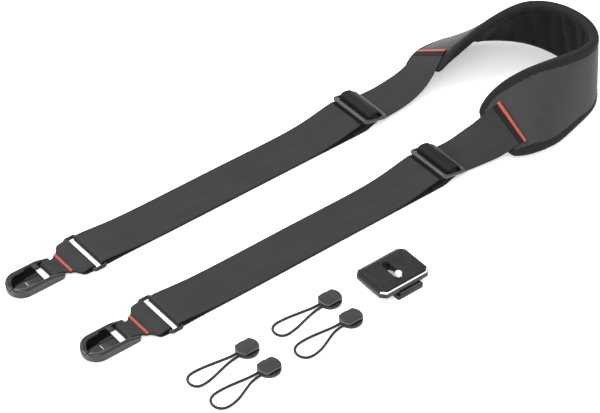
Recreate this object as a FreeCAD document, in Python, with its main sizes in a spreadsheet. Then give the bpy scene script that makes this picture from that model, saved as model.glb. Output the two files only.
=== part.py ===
import FreeCAD, Part
import math
import os

import Sketcher
from FreeCAD import Placement, Rotation, Vector

# Camera sling strap kit, in millimetres.  The kit lies on a table, +Z up.
# +X runs along the two straps from the link housings to the shoulder pad.
# The right strap is the one on the -Y side, the left strap the one on the +Y side.
# Every strap piece is drawn about its own ring slit, at (0, 0) on the table, and
# then placed at its strap's position.

DIMENSIONS = [
    # where things lie, measured from the right strap's ring slit
    ("origin_x", 227.74, "middle of the kit's footprint"),
    ("origin_y", 11.36, "middle of the kit's footprint"),
    ("strap_spacing", 109, "right strap centre to left strap centre"),
    ("left_setback", 6, "how far the left ring lies beyond the right one"),
    # webbing
    ("webbing_width", 45, "woven strap"),
    ("webbing_thickness", 1.5, "one layer"),
    ("layer_gap", 0.4, "air between two layers that lie on each other"),
    ("soft_clearance", 0.3, "webbing to the bar that it goes round"),
    ("webbing_join_gap", 0.4, "between the webbing's own stretches"),
    # rectangular ring
    ("ring_bar_radius", 1.9, "round bar"),
    ("ring_bar_spacing", 12.4, "bar centre to bar centre"),
    ("ring_side_gap", 0.9, "webbing edge to side bar"),
    # sewn tab between ring and link housing
    ("tab_waist_width", 29, "at the bar tack"),
    ("tab_tongue_width", 21.6, "inside the housing"),
    ("tab_shoulder", 9, "ring bar to the start of the taper"),
    ("tab_seam_start", 12.8, "ring bar to the sewn stretch"),
    ("tab_seam_end", 22.8, "ring bar to the end of the sewn stretch"),
    ("tab_reach", 32.8, "ring bar to housing crossbar"),
    # link housing
    ("crossbar_radius", 1.8, "moulded bar that the tab goes round"),
    ("crossbar_height", 4, "above the table"),
    ("housing_width", 30, "outside"),
    ("housing_height", 9.6, "outside"),
    ("housing_wall", 3.6, "side walls"),
    ("housing_floor", 2.2, "floor thickness"),
    ("housing_tail", 8, "walls behind the crossbar"),
    ("housing_reach", 45, "crossbar to tip"),
    ("window_start", 8.6, "crossbar to the floor's edge"),
    ("lip_inset", 2, "how far the lips lean over the channel"),
    ("lip_thickness", 2, "lips over the channel"),
    ("lip_start", 20, "crossbar to the start of the lips"),
    ("tip_notch_width", 9, "cord notch in the rim of the tip"),
    ("tip_notch_depth", 3, "cord notch in the rim of the tip"),
    ("tongue_length", 15.5, "lock tongue"),
    ("tongue_width", 8, "lock tongue"),
    ("tongue_thickness", 1.6, "lock tongue"),
    ("tongue_gap", 0.3, "under the lock tongue and along its sides"),
    ("tongue_root_gap", 1.3, "behind the lock tongue's root"),
    ("catch_length", 1.6, "ridge at the lock tongue's end"),
    # three-bar slider
    ("slider_x", 327, "slider centre from the ring slit"),
    ("slider_z", 10.6, "slider centre above the table"),
    ("slider_tilt", 12, "degrees, ring side up"),
    ("slider_length", 30, "along the strap"),
        ("slider_thickness", 3.4, "frame"),
    ("slider_end_bar", 4.5, "both end bars"),
    ("slider_centre_bar", 5, "middle bar"),
    ("slider_side_bar", 3, "both side bars"),
    ("slider_side_room", 0.5, "webbing edge to side bar"),
    ("slider_width", "=webbing_width + 2 * slider_side_bar + 2 * slider_side_room", "across the strap"),
    ("slider_webbing_reach", 2.5, "its webbing beyond both end bars"),
    ("fold_ease", 0.15, "extra air between the layers over the middle bar"),
    # shoulder pad
    ("pad_width", 80, "full width"),
    ("pad_end_margin", 2, "webbing edge to pad edge at the hems"),
    ("pad_end_width", "=webbing_width + 2 * pad_end_margin", "width at the hems"),
    ("pad_overhang", 9, "hems beyond the first and last points of the line"),
    ("right_end_length", 60, "rounded stretch at the right end"),
    ("left_end_length", 105, "rounded stretch at the left end"),
    ("foam_thickness", 4.4, "core"),
    ("panel_thickness", 1.4, "outer panel"),
    ("lining_thickness", 1.2, "inner lining"),
    ("binding_thickness", 1, "edge tape"),
    ("binding_width", 8, "edge tape on each face"),
    ("pad_lift", 0.4, "evens out the hem along the table"),
    ("pad_layer_gap", 0.3, "between pad layers"),
    ("webbing_tuck", 22, "webbing under the outer panel's hem"),
    ("bartack_length", 48, "across the pad"),
    ("bartack_width", 2.2, "along the webbing"),
    ("bartack_height", 0.7, "thread above the panel"),
    ("pad_bartack_offset", 18, "hem to bar tack"),
    ("bartack_lift", 0.15, "thread clear of the panel"),
    ("tab_bartack_margin", 1, "bar tack's end to the tab's edge"),
    ("tail_bartack_margin", 2.5, "bar tack's end to the webbing's edge"),
    ("tail_bartack_inset", 6, "slider webbing to bar tack"),
    ("tail_bartack_lift", 0.25, "thread clear of the webbing"),
    # cord anchors
    ("puck_radius", 11, "base disc and cap disc"),
    ("puck_base", 3.2, "base disc thickness"),
    ("puck_neck_radius", 7.4, "waist between the discs"),
    ("puck_neck", 0.9, "waist height"),
    ("puck_cap", 1.7, "cap disc thickness"),
    ("puck_flat", 16.2, "across the cap's two flats"),
    ("cord_diameter", 2.7, "loop cord"),
    ("cord_hole_clearance", 0.1, "round the cord in the base disc"),
    ("cord_depth", 4.7, "cord inside the base disc"),
    ("cord_spread", 1.8, "cord centre to puck centre line"),
    # camera plate
    ("plate_x", 191.4, "plate centre from the right ring slit"),
    ("plate_y", -93.2, "plate centre from the right strap centre"),
    ("plate_length", 57.5, "along X"),
    ("plate_depth", 42.5, "along Y"),
    ("plate_thickness", 6, "slab"),
    ("plate_corner", 5, "cut corners"),
    ("plate_bevel", 1.6, "bevel round the top"),
    ("grip_inset", 3.2, "slab edge to grip pad edge"),
    ("grip_thickness", 1, "grip pad"),
    ("grip_proud", 0.3, "grip pad above the slab"),
    ("grip_gap", 0.2, "round the grip pad in its recess"),
    ("base_length", 29, "dovetail base along X"),
    ("base_shift", 2.5, "dovetail base centre from the plate centre"),
    ("base_depth", 46, "dovetail base along Y"),
    ("base_height", 8, "dovetail base"),
    ("groove_depth", 2.4, "dovetail base side grooves"),
    ("groove_height", 2.8, "dovetail base side grooves"),
    ("slot_length", 24, "screw slot end to end"),
    ("slot_width", 7, "screw slot"),
    ("window_margin", 0.5, "grip pad's window round the slot"),
    ("screw_setback", 0.3, "screw from the slot's near end"),
    ("screw_radius", 3.175, "quarter inch camera screw thread"),
    ("screw_neck_radius", 2.5, "thinner shank under the thread"),
    ("screw_above", 4, "thread above the grip pad"),
    ("head_radius", 6, "screw head"),
    ("head_height", 3.4, "screw head"),
    ("head_clearance", 0.8, "round the screw head"),
    ("washer_thickness", 0.8, "retaining washer"),
    ("washer_gap", 0.15, "above and below the washer"),
    ("washer_clearance", 0.08, "round the screw shank"),
    ("coin_slot_width", 1.6, "slot in the screw head"),
    ("coin_slot_depth", 1.4, "slot in the screw head"),
]

# Webbing and pad centre line from the right slider to the left one: x, y, lean, turn.
# Lean is the angle of the band from the table, 0 flat and 90 on its edge.  Turn is
# how far the band's width is turned from square to the line, anticlockwise.
PAD_LINE = [
    (399, -12.5, 27, 19),
    (439, -23.5, 59, 11),
    (479, -26, 81, 3),
    (507, -19.5, 87, 0),
    (523, -2, 85, 0),
    (531, 27, 79, 0),
    (527, 60, 71, 0),
    (510, 88, 61, 0),
    (481, 105, 50, 0),
    (445, 114, 38, 0),
    (412, 114, 28, 0),
]
# The two ends meet the sliders' own webbing, so only their lean is given there.
RIGHT_LEAD = [(355, -0.8, 4.5, 3, 2), (367, -3.3, 7.7, 9, 6), (383, -7.7, 13.6, 18, 13)]
LEFT_LEAD = [(396, 112.8, 13, 18, 0), (376, 110.6, 6.7, 8, 0), (353, 109.2, 4.3, 3, 0)]
LEAD_END_LEAN = 1

# Cord loop routes in the plane of the table, from the puck's centre, chosen by hand.
NARROW_LOOP = [
    (-6.3, 1.8),
    (-16, 1.8),
    (-30, 4.2),
    (-46, 6.8),
    (-59.3, 7),
    (-64.6, 1.7),
    (-64.6, -5.8),
    (-59.3, -11.1),
    (-46, -9.6),
    (-31, -5),
    (-17, -1.8),
    (-6.3, -1.8),
]
WIDE_LOOP = [
    (-6.3, 1.8),
    (-17, 1.8),
    (-31, 3.8),
    (-45, 5.6),
    (-59.1, 5),
    (-65, -0.9),
    (-65, -9.1),
    (-59.1, -15),
    (-46, -14),
    (-33, -8.2),
    (-19.2, -1.8),
    (-6.3, -1.8),
]
# name, centre x, centre y, route
ANCHORS = [
    ("first", 130.6, -78.5, NARROW_LOOP),
    ("second", 129.6, -109.2, WIDE_LOOP),
    ("third", 34.2, -81.9, NARROW_LOOP),
    ("fourth", 34.7, -112.5, WIDE_LOOP),
]

doc = FreeCAD.newDocument("sling_strap_kit")
sheet = doc.addObject("Spreadsheet::Sheet", "dims")
for row, (alias, value, note) in enumerate(DIMENSIONS, start=1):
    sheet.set("A%d" % row, alias)
    sheet.set("B%d" % row, str(value))
    sheet.set("C%d" % row, note)
    sheet.setAlias("B%d" % row, alias)
doc.recompute()
finished = []


def dim(alias):
    return float(sheet.get(alias))


def bind(item, properties):
    """Ties each property of an object to an expression on the sheet."""
    for name, expression in properties.items():
        item.setExpression(name, expression)
    return item


def at(x, y, z):
    return {"Placement.Base.x": x, "Placement.Base.y": y, "Placement.Base.z": z}


def box(name, size, centre, bottom):
    """A box of three size expressions, centred on x and y, standing on z = bottom."""
    item = doc.addObject("Part::Box", name)
    bind(item, dict(zip(("Length", "Width", "Height"), size)))
    x, y = centre
    return bind(item, at("(%s) - (%s) / 2" % (x, size[0]), "(%s) - (%s) / 2" % (y, size[1]), bottom))


def cylinder(name, radius, height, base, rotation=None):
    item = doc.addObject("Part::Cylinder", name)
    item.Placement = Placement(Vector(), rotation or Rotation())
    bind(item, {"Radius": radius, "Height": height})
    return bind(item, at(*base))


def cross_cylinder(name, radius, length, x, z):
    """A cylinder along Y, centred on y = 0."""
    turned = Rotation(Vector(1, 0, 0), -90)
    return cylinder(name, radius, length, (x, "-(%s) / 2" % length, z), turned)


def sphere(name, radius, centre):
    item = doc.addObject("Part::Sphere", name)
    bind(item, {"Radius": radius})
    return bind(item, at(*centre))


def fuse(name, pieces):
    item = doc.addObject("Part::MultiFuse", name)
    item.Shapes = pieces
    item.Refine = True
    return item


def cut(name, base, tool):
    item = doc.addObject("Part::Cut", name)
    item.Base = base
    item.Tool = tool
    item.Refine = True
    return item


def common(name, base, tool):
    item = doc.addObject("Part::Common", name)
    item.Base = base
    item.Tool = tool
    return item


def feature(name, shape):
    item = doc.addObject("Part::Feature", name)
    item.Shape = shape
    return item


def finish(item, label, x, y):
    """Names a sub-part and places it from the ring slit's frame into the kit's frame."""
    item.Label = label
    item.Placement = Placement()
    bind(item, at("(%s) - dims.origin_x" % x, "(%s) - dims.origin_y" % y, "0"))
    finished.append(item)
    return item


def side_place(side):
    if side == "left":
        return "-dims.left_setback", "dims.strap_spacing"
    return "0", "0"


# ---------------------------------------------------------------- flat band helpers


def polygon_prism(outlines, width):
    """Extrudes an x-z outline, with holes after the first, over y = -width/2 .. width/2."""
    wires = []
    for points in outlines:
        corners = [Vector(x, -width / 2, z) for x, z in points]
        wires.append(Part.makePolygon(corners + corners[:1]))
    face = Part.Face(wires[0])
    for hole in wires[1:]:
        face = face.cut(Part.Face(hole))
    return face.extrude(Vector(0, width, 0))


def band_outline(points, thickness):
    """The closed outline of a band of even thickness along a centre line in the x-z plane."""
    left, right = [], []
    for i, point in enumerate(points):
        before = points[max(i - 1, 0)]
        after = points[min(i + 1, len(points) - 1)]
        first = direction(before, point) if i else direction(point, after)
        second = direction(point, after) if i < len(points) - 1 else first
        middle = (first + second).normalize()
        reach = thickness / 2 / middle.dot(first)
        normal = Vector(-middle.y, middle.x, 0) * reach
        left.append((point[0] + normal.x, point[1] + normal.y))
        right.append((point[0] - normal.x, point[1] - normal.y))
    return left + right[::-1]


def direction(start, end):
    return Vector(end[0] - start[0], end[1] - start[1], 0).normalize()


def arc_points(centre, radius, start, end, steps):
    """Points on an arc in the x-z plane, angles in degrees from +X towards +Z."""
    points = []
    for i in range(steps + 1):
        angle = math.radians(start + (end - start) * i / steps)
        points.append((centre[0] + radius * math.cos(angle), centre[1] + radius * math.sin(angle)))
    return points


def fold_radius():
    """Centre line of webbing round a ring bar."""
    return dim("ring_bar_radius") + dim("soft_clearance") + dim("webbing_thickness") / 2


def ring_height():
    return fold_radius() + dim("webbing_thickness") / 2


# ---------------------------------------------------------------- ring, tab, housing


def make_ring(side):
    half = "dims.ring_bar_spacing / 2"
    span = "dims.webbing_width + 2 * dims.ring_side_gap + 2 * dims.ring_bar_radius"
    height = "dims.ring_bar_radius + dims.soft_clearance + dims.webbing_thickness"
    radius = "dims.ring_bar_radius"
    pieces = []
    along = Rotation(Vector(0, 1, 0), 90)
    for end, sign in (("strap", ""), ("tab", "-")):
        x = "%s%s" % (sign, half)
        pieces.append(cross_cylinder("%s_%s_bar" % (side, end), radius, span, x, height))
        for edge, edge_sign in (("near", "-"), ("far", "")):
            corner = (x, "%s(%s) / 2" % (edge_sign, span), height)
            pieces.append(sphere("%s_%s_%s_corner" % (side, end, edge), radius, corner))
    for edge, edge_sign in (("near", "-"), ("far", "")):
        base = ("-%s" % half, "%s(%s) / 2" % (edge_sign, span), height)
        name = "%s_%s_side" % (side, edge)
        pieces.append(cylinder(name, radius, "dims.ring_bar_spacing", base, along))
    return finish(fuse(side + "_ring", pieces), side + "_ring", *side_place(side))


def crossbar_x():
    return -dim("ring_bar_spacing") / 2 - dim("tab_reach")


def tab_profile():
    """Side view of the sewn tab: two bar loops joined by a sewn stretch."""
    layer = dim("webbing_thickness")
    ring = (-dim("ring_bar_spacing") / 2, ring_height())
    cross = (crossbar_x(), dim("crossbar_height"))
    ring_hole = dim("ring_bar_radius") + dim("soft_clearance")
    cross_hole = dim("crossbar_radius") + dim("soft_clearance")
    seam_start = ring[0] - dim("tab_seam_start")
    seam_end = ring[0] - dim("tab_seam_end")
    seam_z = (ring[1] + cross[1]) / 2
    outer = arc_points(ring, ring_hole + layer, -100, 100, 12)
    outer += [(seam_start, seam_z + layer), (seam_end, seam_z + layer)]
    outer += arc_points(cross, cross_hole + layer, 80, 280, 12)
    outer += [(seam_end, seam_z - layer), (seam_start, seam_z - layer)]
    ring_gap = arc_points(ring, ring_hole, -100, 100, 12) + [(seam_start + layer, seam_z)]
    cross_gap = arc_points(cross, cross_hole, 80, 280, 12) + [(seam_end - layer, seam_z)]
    return [outer, ring_gap, cross_gap]


def tab_plan():
    """Plan view of the tab: webbing width at the ring, an S curve, the tongue's width."""
    full = dim("webbing_width") / 2
    waist = dim("tab_waist_width") / 2
    narrow = dim("tab_tongue_width") / 2
    ring_x = -dim("ring_bar_spacing") / 2
    ring_side = ring_x + 2 * dim("ring_bar_spacing")
    shoulder = ring_x - dim("tab_shoulder")
    waist_x = ring_x - (dim("tab_seam_start") + dim("tab_seam_end")) / 2
    tongue_x = crossbar_x() + dim("housing_tail") + 1.5
    end_x = crossbar_x() - dim("housing_tail")
    curve = Part.BSplineCurve()
    points = [
        Vector(shoulder, full, 0),
        Vector((shoulder + waist_x) / 2, full * 0.45 + waist * 0.55, 0),
        Vector(waist_x, waist, 0),
        Vector(tongue_x, narrow, 0),
    ]
    curve.interpolate(points, InitialTangent=Vector(-1, 0, 0), FinalTangent=Vector(-1, 0, 0))
    upper = curve.toShape()
    lower = upper.mirror(Vector(), Vector(0, 1, 0))
    corners = [
        (Vector(shoulder, full, 0), Vector(ring_side, full, 0)),
        (Vector(ring_side, full, 0), Vector(ring_side, -full, 0)),
        (Vector(ring_side, -full, 0), Vector(shoulder, -full, 0)),
        (Vector(tongue_x, narrow, 0), Vector(end_x, narrow, 0)),
        (Vector(end_x, narrow, 0), Vector(end_x, -narrow, 0)),
        (Vector(end_x, -narrow, 0), Vector(tongue_x, -narrow, 0)),
    ]
    edges = [upper, lower] + [Part.makeLine(a, b) for a, b in corners]
    outline = Part.Wire(Part.__sortEdges__(edges))
    return Part.Face(outline).extrude(Vector(0, 0, 3 * ring_height()))


def make_tab(side):
    solid = polygon_prism(tab_profile(), dim("webbing_width")).common(tab_plan())
    finish(feature(side + "_tab", solid.Solids[0]), side + "_tab", *side_place(side))
    seam_z = (ring_height() + dim("crossbar_height")) / 2 + dim("webbing_thickness")
    seam_x = -dim("ring_bar_spacing") / 2 - (dim("tab_seam_start") + dim("tab_seam_end")) / 2
    length = dim("tab_waist_width") - 2 * dim("tab_bartack_margin")
    corner = Vector(seam_x - dim("bartack_width") / 2, -length / 2, seam_z)
    stitch = Part.makeBox(dim("bartack_width"), length, dim("bartack_height"), corner)
    label = side + "_tab_bartack"
    return finish(feature(label, stitch), label, *side_place(side))


def make_housing(side):
    """A U-shaped channel with a closed round tip, lips, a floor window and a crossbar."""
    cross = "-dims.ring_bar_spacing / 2 - dims.tab_reach"
    tip_centre = "%s - dims.housing_reach + dims.housing_width / 2" % cross
    tail = "%s + dims.housing_tail" % cross
    inner = "dims.housing_width / 2 - dims.housing_wall"
    lip_radius = "%s - dims.lip_inset" % inner
    height = "dims.housing_height"
    body_length = "(%s) - (%s)" % (tail, tip_centre)
    body_middle = "((%s) + (%s)) / 2" % (tail, tip_centre)
    width = "dims.housing_width"
    name = side + "_housing"
    shell = fuse(name + "_shell", [
        box(name + "_straight", (body_length, width, height), (body_middle, "0"), "0"),
        cylinder(name + "_tip", width + " / 2", height, (tip_centre, "0", "0")),
    ])
    lip_height = "%s - dims.lip_thickness - dims.housing_floor" % height
    lip_face = "%s - dims.lip_start" % cross
    lip_length = "(%s) - (%s)" % (lip_face, tip_centre)
    lip_middle = "((%s) + (%s)) / 2" % (lip_face, tip_centre)
    open_length = "(%s) - (%s) + 2" % (tail, lip_face)
    open_middle = "(%s) + (%s) / 2" % (lip_face, open_length)
    window_face = "%s - dims.window_start" % cross
    window_length = "(%s) - (%s) + 2" % (tail, window_face)
    window_middle = "(%s) + (%s) / 2" % (window_face, window_length)
    channel = "2 * (%s)" % inner
    lip_gap = "2 * (%s)" % lip_radius
    slot_length = "2 * (dims.tongue_length + dims.tongue_root_gap)"
    slot_width = "dims.tongue_width + 2 * dims.tongue_gap"
    tip = "%s - dims.housing_reach" % cross
    notch_length = "2 * (dims.housing_wall + 2 * dims.lip_inset)"
    notch_low = "%s - dims.tip_notch_depth" % height
    hollow = fuse(name + "_hollow", [
        box(name + "_channel", (lip_length, channel, lip_height), (lip_middle, "0"), "dims.housing_floor"),
        cylinder(name + "_channel_end", inner, lip_height, (tip_centre, "0", "dims.housing_floor")),
        box(name + "_lip_gap", (lip_length, lip_gap, height), (lip_middle, "0"), "dims.housing_floor"),
        cylinder(name + "_lip_gap_end", lip_radius, height, (tip_centre, "0", "dims.housing_floor")),
        box(name + "_open", (open_length, channel, height), (open_middle, "0"), "dims.housing_floor"),
        box(name + "_window", (window_length, channel, "2 * " + height), (window_middle, "0"), "-1"),
        box(name + "_tongue_slot", (slot_length, slot_width, height), (window_face, "0"), "-1"),
        box(name + "_tip_notch", (notch_length, "dims.tip_notch_width", height), (tip, "0"), notch_low),
    ])
    bar_length = "%s + dims.housing_wall" % channel
    bar = cross_cylinder(name + "_crossbar", "dims.crossbar_radius", bar_length, cross, "dims.crossbar_height")
    body = fuse(name, [cut(name + "_channelled", shell, hollow), bar])
    return finish(body, side + "_link_housing", *side_place(side))


def make_tongue(side):
    cross = "-dims.ring_bar_spacing / 2 - dims.tab_reach"
    face = "%s - dims.window_start" % cross
    size = ("dims.tongue_length", "dims.tongue_width", "dims.tongue_thickness")
    middle = "%s - dims.tongue_length / 2" % face
    plate = box(side + "_tongue_plate", size, (middle, "0"), "dims.tongue_gap")
    catch = box(
        side + "_tongue_catch",
        ("dims.catch_length", "dims.tongue_width", "dims.tongue_thickness"),
        ("%s - dims.catch_length / 2" % face, "0"),
        "dims.tongue_gap + dims.tongue_thickness / 2",
    )
    tongue = fuse(side + "_tongue", [plate, catch])
    return finish(tongue, side + "_lock_tongue", *side_place(side))


# ---------------------------------------------------------------- slider and webbing


def make_slider(side):
    """Three-bar slider: a flat frame with two slots, tilted as the webbing lifts it."""
    body = doc.addObject("PartDesign::Body", side + "_slider")
    sketch = body.newObject("Sketcher::SketchObject", side + "_slider_sketch")
    planes = [f for f in body.Origin.OriginFeatures if f.Role == "XY_Plane"]
    sketch.AttachmentSupport = [(planes[0], "")]
    sketch.MapMode = "FlatFace"
    slot_width = "dims.slider_width - 2 * dims.slider_side_bar"
    slot = "(dims.slider_length - 2 * dims.slider_end_bar - dims.slider_centre_bar) / 2"
    half_bar = "dims.slider_centre_bar / 2"
    rectangle(sketch, "outer", "dims.slider_length", "dims.slider_width", "dims.slider_length / 2", True)
    rectangle(sketch, "pad_slot", slot, slot_width, half_bar, False)
    rectangle(sketch, "ring_slot", slot, slot_width, "%s + %s" % (half_bar, slot), True)
    pad = body.newObject("PartDesign::Pad", side + "_slider_pad")
    pad.Profile = sketch
    pad.SideType = "Symmetric"
    pad.setExpression("Length", "dims.slider_thickness")
    doc.recompute()
    body.Label = side + "_slider_frame"
    x, y = side_place(side)
    body.Placement = Placement(Vector(), Rotation(Vector(0, 1, 0), dim("slider_tilt")))
    bind(body, at(
        "(%s) + dims.slider_x - dims.origin_x" % x,
        "(%s) - dims.origin_y" % y,
        "dims.slider_z",
    ))
    finished.append(body)


def rectangle(sketch, name, length, width, left, starts_left):
    """A rectangle centred on the sketch's X axis; left is its left side's distance from the origin."""
    guess = 4.0
    shift = -3 * guess if starts_left else 3 * guess
    corners = [
        Vector(shift - guess, -guess, 0),
        Vector(shift + guess, -guess, 0),
        Vector(shift + guess, guess, 0),
        Vector(shift - guess, guess, 0),
    ]
    first = sketch.GeometryCount
    for i in range(4):
        sketch.addGeometry(Part.LineSegment(corners[i], corners[(i + 1) % 4]), False)
    for i, kind in enumerate(("Horizontal", "Vertical", "Horizontal", "Vertical")):
        sketch.addConstraint(Sketcher.Constraint("Coincident", first + i, 2, first + (i + 1) % 4, 1))
        sketch.addConstraint(Sketcher.Constraint(kind, first + i))
    origin, corner = (-1, 1), (first, 1)
    span = (corner, origin) if starts_left else (origin, corner)
    sizes = (
        ("length", ("DistanceX", first, 1, first, 2, 2 * guess), length),
        ("width", ("DistanceY", first + 1, 1, first + 1, 2, 2 * guess), width),
        ("left", ("DistanceX",) + span[0] + span[1] + (abs(shift - guess),), left),
        ("low", ("DistanceY",) + corner + origin + (guess,), "(%s) / 2" % width),
    )
    for label, constraint, expression in sizes:
        index = sketch.addConstraint(Sketcher.Constraint(*constraint))
        sketch.renameConstraint(index, "%s_%s" % (name, label))
        sketch.setExpression("Constraints.%s_%s" % (name, label), expression)


def from_slider(u, w):
    """A point given along and above the tilted slider frame, in the strap's x-z plane."""
    tilt = math.radians(dim("slider_tilt"))
    x = dim("slider_x") + u * math.cos(tilt) + w * math.sin(tilt)
    return (x, dim("slider_z") - u * math.sin(tilt) + w * math.cos(tilt))


def slider_levels():
    """Centre lines of the webbing under the end bars, and of both layers over the middle bar."""
    half = dim("slider_thickness") / 2
    layer = dim("webbing_thickness")
    gap = dim("soft_clearance")
    under = -(half + gap + layer / 2)
    inner = half + gap + layer / 2
    return under, inner, inner + layer + gap + dim("fold_ease")


def slider_reach():
    """Half the length of the slider's own stretch of webbing."""
    return dim("slider_length") / 2 + dim("slider_webbing_reach")


def wrap_line():
    """Webbing under one end bar, over the middle bar and under the other end bar."""
    under, _, outer = slider_levels()
    end = slider_reach()
    bar = dim("slider_length") / 2 - dim("slider_end_bar") - 1
    rise = dim("slider_centre_bar") / 2 + 2 * (dim("webbing_thickness") + dim("soft_clearance")) + 1.1
    half = [(end, under), (bar, under), (rise, 0), (rise - 0.6, outer - 1.3), (rise - 3, outer)]
    line = half + [(-u, w) for u, w in half[::-1]]
    return [from_slider(u, w) for u, w in line]


def bottom_z():
    return dim("webbing_thickness") / 2


def top_z():
    return 1.5 * dim("webbing_thickness") + dim("layer_gap")


def strap_join():
    """Where the strap's runs meet the slider's own stretch of webbing."""
    under = slider_levels()[0]
    return from_slider(-slider_reach(), under)


def tail_line():
    """The strap's end: up from the table, round the middle bar, and back onto itself."""
    inner = slider_levels()[1]
    join = strap_join()[0]
    side = dim("slider_centre_bar") / 2 + dim("soft_clearance") + dim("webbing_thickness")
    loop = [
        (side, -1.2),
        (side, inner - 1.5),
        (side - 1.5, inner),
        (1.5 - side, inner),
        (-side, inner - 1.5),
        (-side, -1.6),
    ]
    rise = [(join, bottom_z()), (join + 9, bottom_z() + 0.8), (join + 17, 4.4), (join + 21.2, 6)]
    back = [(join + 6.6, 4.5), (join - 1, 3), (join - 8, top_z() + 0.1)]
    return rise + [from_slider(u, w) for u, w in loop] + back


def loop_line():
    """Strap from the slider to the ring on top, round the ring bar, and back underneath."""
    join_x, join_z = strap_join()
    ring = (dim("ring_bar_spacing") / 2, ring_height())
    top = top_z()
    drop = join_z - top
    join_x -= dim("webbing_join_gap")
    falling = [
        (join_x, join_z + 0.08),
        (join_x - 12, top + 0.76 * drop),
        (join_x - 28, top + 0.4 * drop),
        (join_x - 46, top + 0.12 * drop),
        (join_x - 66, top),
    ]
    lift = ring[1] + fold_radius() - top
    rising = [(ring[0] + 70, top), (ring[0] + 38, top + 0.25 * lift), (ring[0] + 14, top + 0.8 * lift)]
    fold = arc_points(ring, fold_radius(), 90, 270, 12)
    return falling + rising + fold + [(join_x, bottom_z())]


def make_strap(side):
    place = side_place(side)
    width = dim("webbing_width")
    layer = dim("webbing_thickness")
    pieces = (
        ("slider_webbing", wrap_line()),
        ("webbing_tail", tail_line()),
        ("webbing_loop", loop_line()),
    )
    for name, line in pieces:
        solid = polygon_prism([band_outline(line, layer)], width)
        finish(feature("%s_%s" % (side, name), solid), "%s_%s" % (side, name), *place)
    join = strap_join()[0]
    length = width - 2 * dim("tail_bartack_margin")
    low = top_z() + layer / 2 + dim("tail_bartack_lift")
    corner = Vector(join - dim("tail_bartack_inset"), -length / 2, low)
    stitch = Part.makeBox(dim("bartack_width"), length, dim("bartack_height"), corner)
    label = side + "_tail_bartack"
    finish(feature(label, stitch), label, *place)


# ---------------------------------------------------------------- shoulder pad


def pad_depth():
    """Pad thickness on the wearer's side of the foam's middle, tape included."""
    gap = dim("pad_layer_gap")
    return dim("foam_thickness") / 2 + gap + dim("lining_thickness") + gap + dim("binding_thickness")


def centre_curves():
    """Smooth curves for the band's centre and for its lean and turn, on shared parameters."""
    end_x, end_z = from_slider(slider_reach(), slider_levels()[0])
    end_x += dim("webbing_join_gap")
    places = [Vector(end_x, 0, end_z)] + [Vector(*point[:3]) for point in RIGHT_LEAD]
    angles = [Vector(LEAD_END_LEAN, 0, 0)] + [Vector(*point[3:], 0) for point in RIGHT_LEAD]
    for x, y, lean, turn in PAD_LINE:
        angle = math.radians(lean)
        height = dim("pad_width") / 2 * math.sin(angle) + pad_depth() * math.cos(angle) + dim("pad_lift")
        places.append(Vector(x, y, height))
        angles.append(Vector(lean, turn, 0))
    places += [Vector(*point[:3]) for point in LEFT_LEAD]
    places += [Vector(end_x - dim("left_setback"), dim("strap_spacing"), end_z)]
    angles += [Vector(*point[3:], 0) for point in LEFT_LEAD] + [Vector(LEAD_END_LEAN, 0, 0)]
    travel = [0.0]
    for before, after in zip(places, places[1:]):
        travel.append(travel[-1] + before.distanceToPoint(after))
    centre = Part.BSplineCurve()
    along = Vector(1, 0, 0)
    centre.interpolate(Points=places, Parameters=travel, InitialTangent=along, FinalTangent=-along)
    tilt = Part.BSplineCurve()
    tilt.interpolate(Points=angles, Parameters=travel)
    first_pad = len(RIGHT_LEAD) + 1
    last_pad = first_pad + len(PAD_LINE) - 1
    overhang = dim("pad_overhang")
    return centre, tilt, travel, travel[first_pad] - overhang, travel[last_pad] + overhang


def section_frame(curves, distance):
    """Centre, width direction and outward normal of the band at a distance along it."""
    centre, tilt = curves[0], curves[1]
    point = centre.value(distance)
    along = centre.tangent(distance)[0]
    lean, turn, _ = tilt.value(distance)
    flat = Rotation(Vector(0, 0, 1), turn).multVec(Vector(-along.y, along.x, 0).normalize())
    angle = math.radians(lean)
    across = flat * math.cos(angle) + Vector(0, 0, 1) * math.sin(angle)
    outward = Vector(0, 0, 1) * math.cos(angle) - flat * math.sin(angle)
    return point, across, outward


def band_loft(curves, distances, profile):
    """Lofts a profile, given at each distance as (across, outward) points, along the band."""
    wires = []
    for distance in distances:
        point, across, outward = section_frame(curves, distance)
        corners = [point + across * v + outward * n for v, n in profile(distance)]
        wires.append(Part.makePolygon(corners + corners[:1]))
    return Part.makeLoft(wires, True, True)


def pad_half_width(curves, distance):
    """Half the pad's width: elliptical ends, straight in between."""
    start, end = curves[3], curves[4]
    share = min((distance - start) / dim("right_end_length"), (end - distance) / dim("left_end_length"))
    share = min(max(share, 0.0), 1.0)
    swell = math.sqrt(1 - (1 - share) ** 2)
    narrow = dim("pad_end_width") / 2
    return narrow + (dim("pad_width") / 2 - narrow) * swell


def end_steps(reach, trim):
    """Distances from a hem: close together near it."""
    steps = [share * reach for share in (0.03, 0.1, 0.22, 0.4, 0.65, 1.0)]
    return [trim] + [step for step in steps if step > trim]


def pad_distances(curves, trim=0.0):
    """Where the pad's sections lie, starting trim inside both hems."""
    start, end = curves[3], curves[4]
    near = [start + step for step in end_steps(dim("right_end_length"), trim)]
    far = [end - step for step in end_steps(dim("left_end_length"), trim)]
    count = 12
    between = far[-1] - near[-1]
    middle = [near[-1] + between * i / count for i in range(1, count)]
    return near + middle + far[::-1]


def slab_profile(curves, edge_trim, low, high):
    def profile(distance):
        half = pad_half_width(curves, distance) - edge_trim
        return [(-half, low), (half, low), (half, high), (-half, high)]
    return profile


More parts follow.
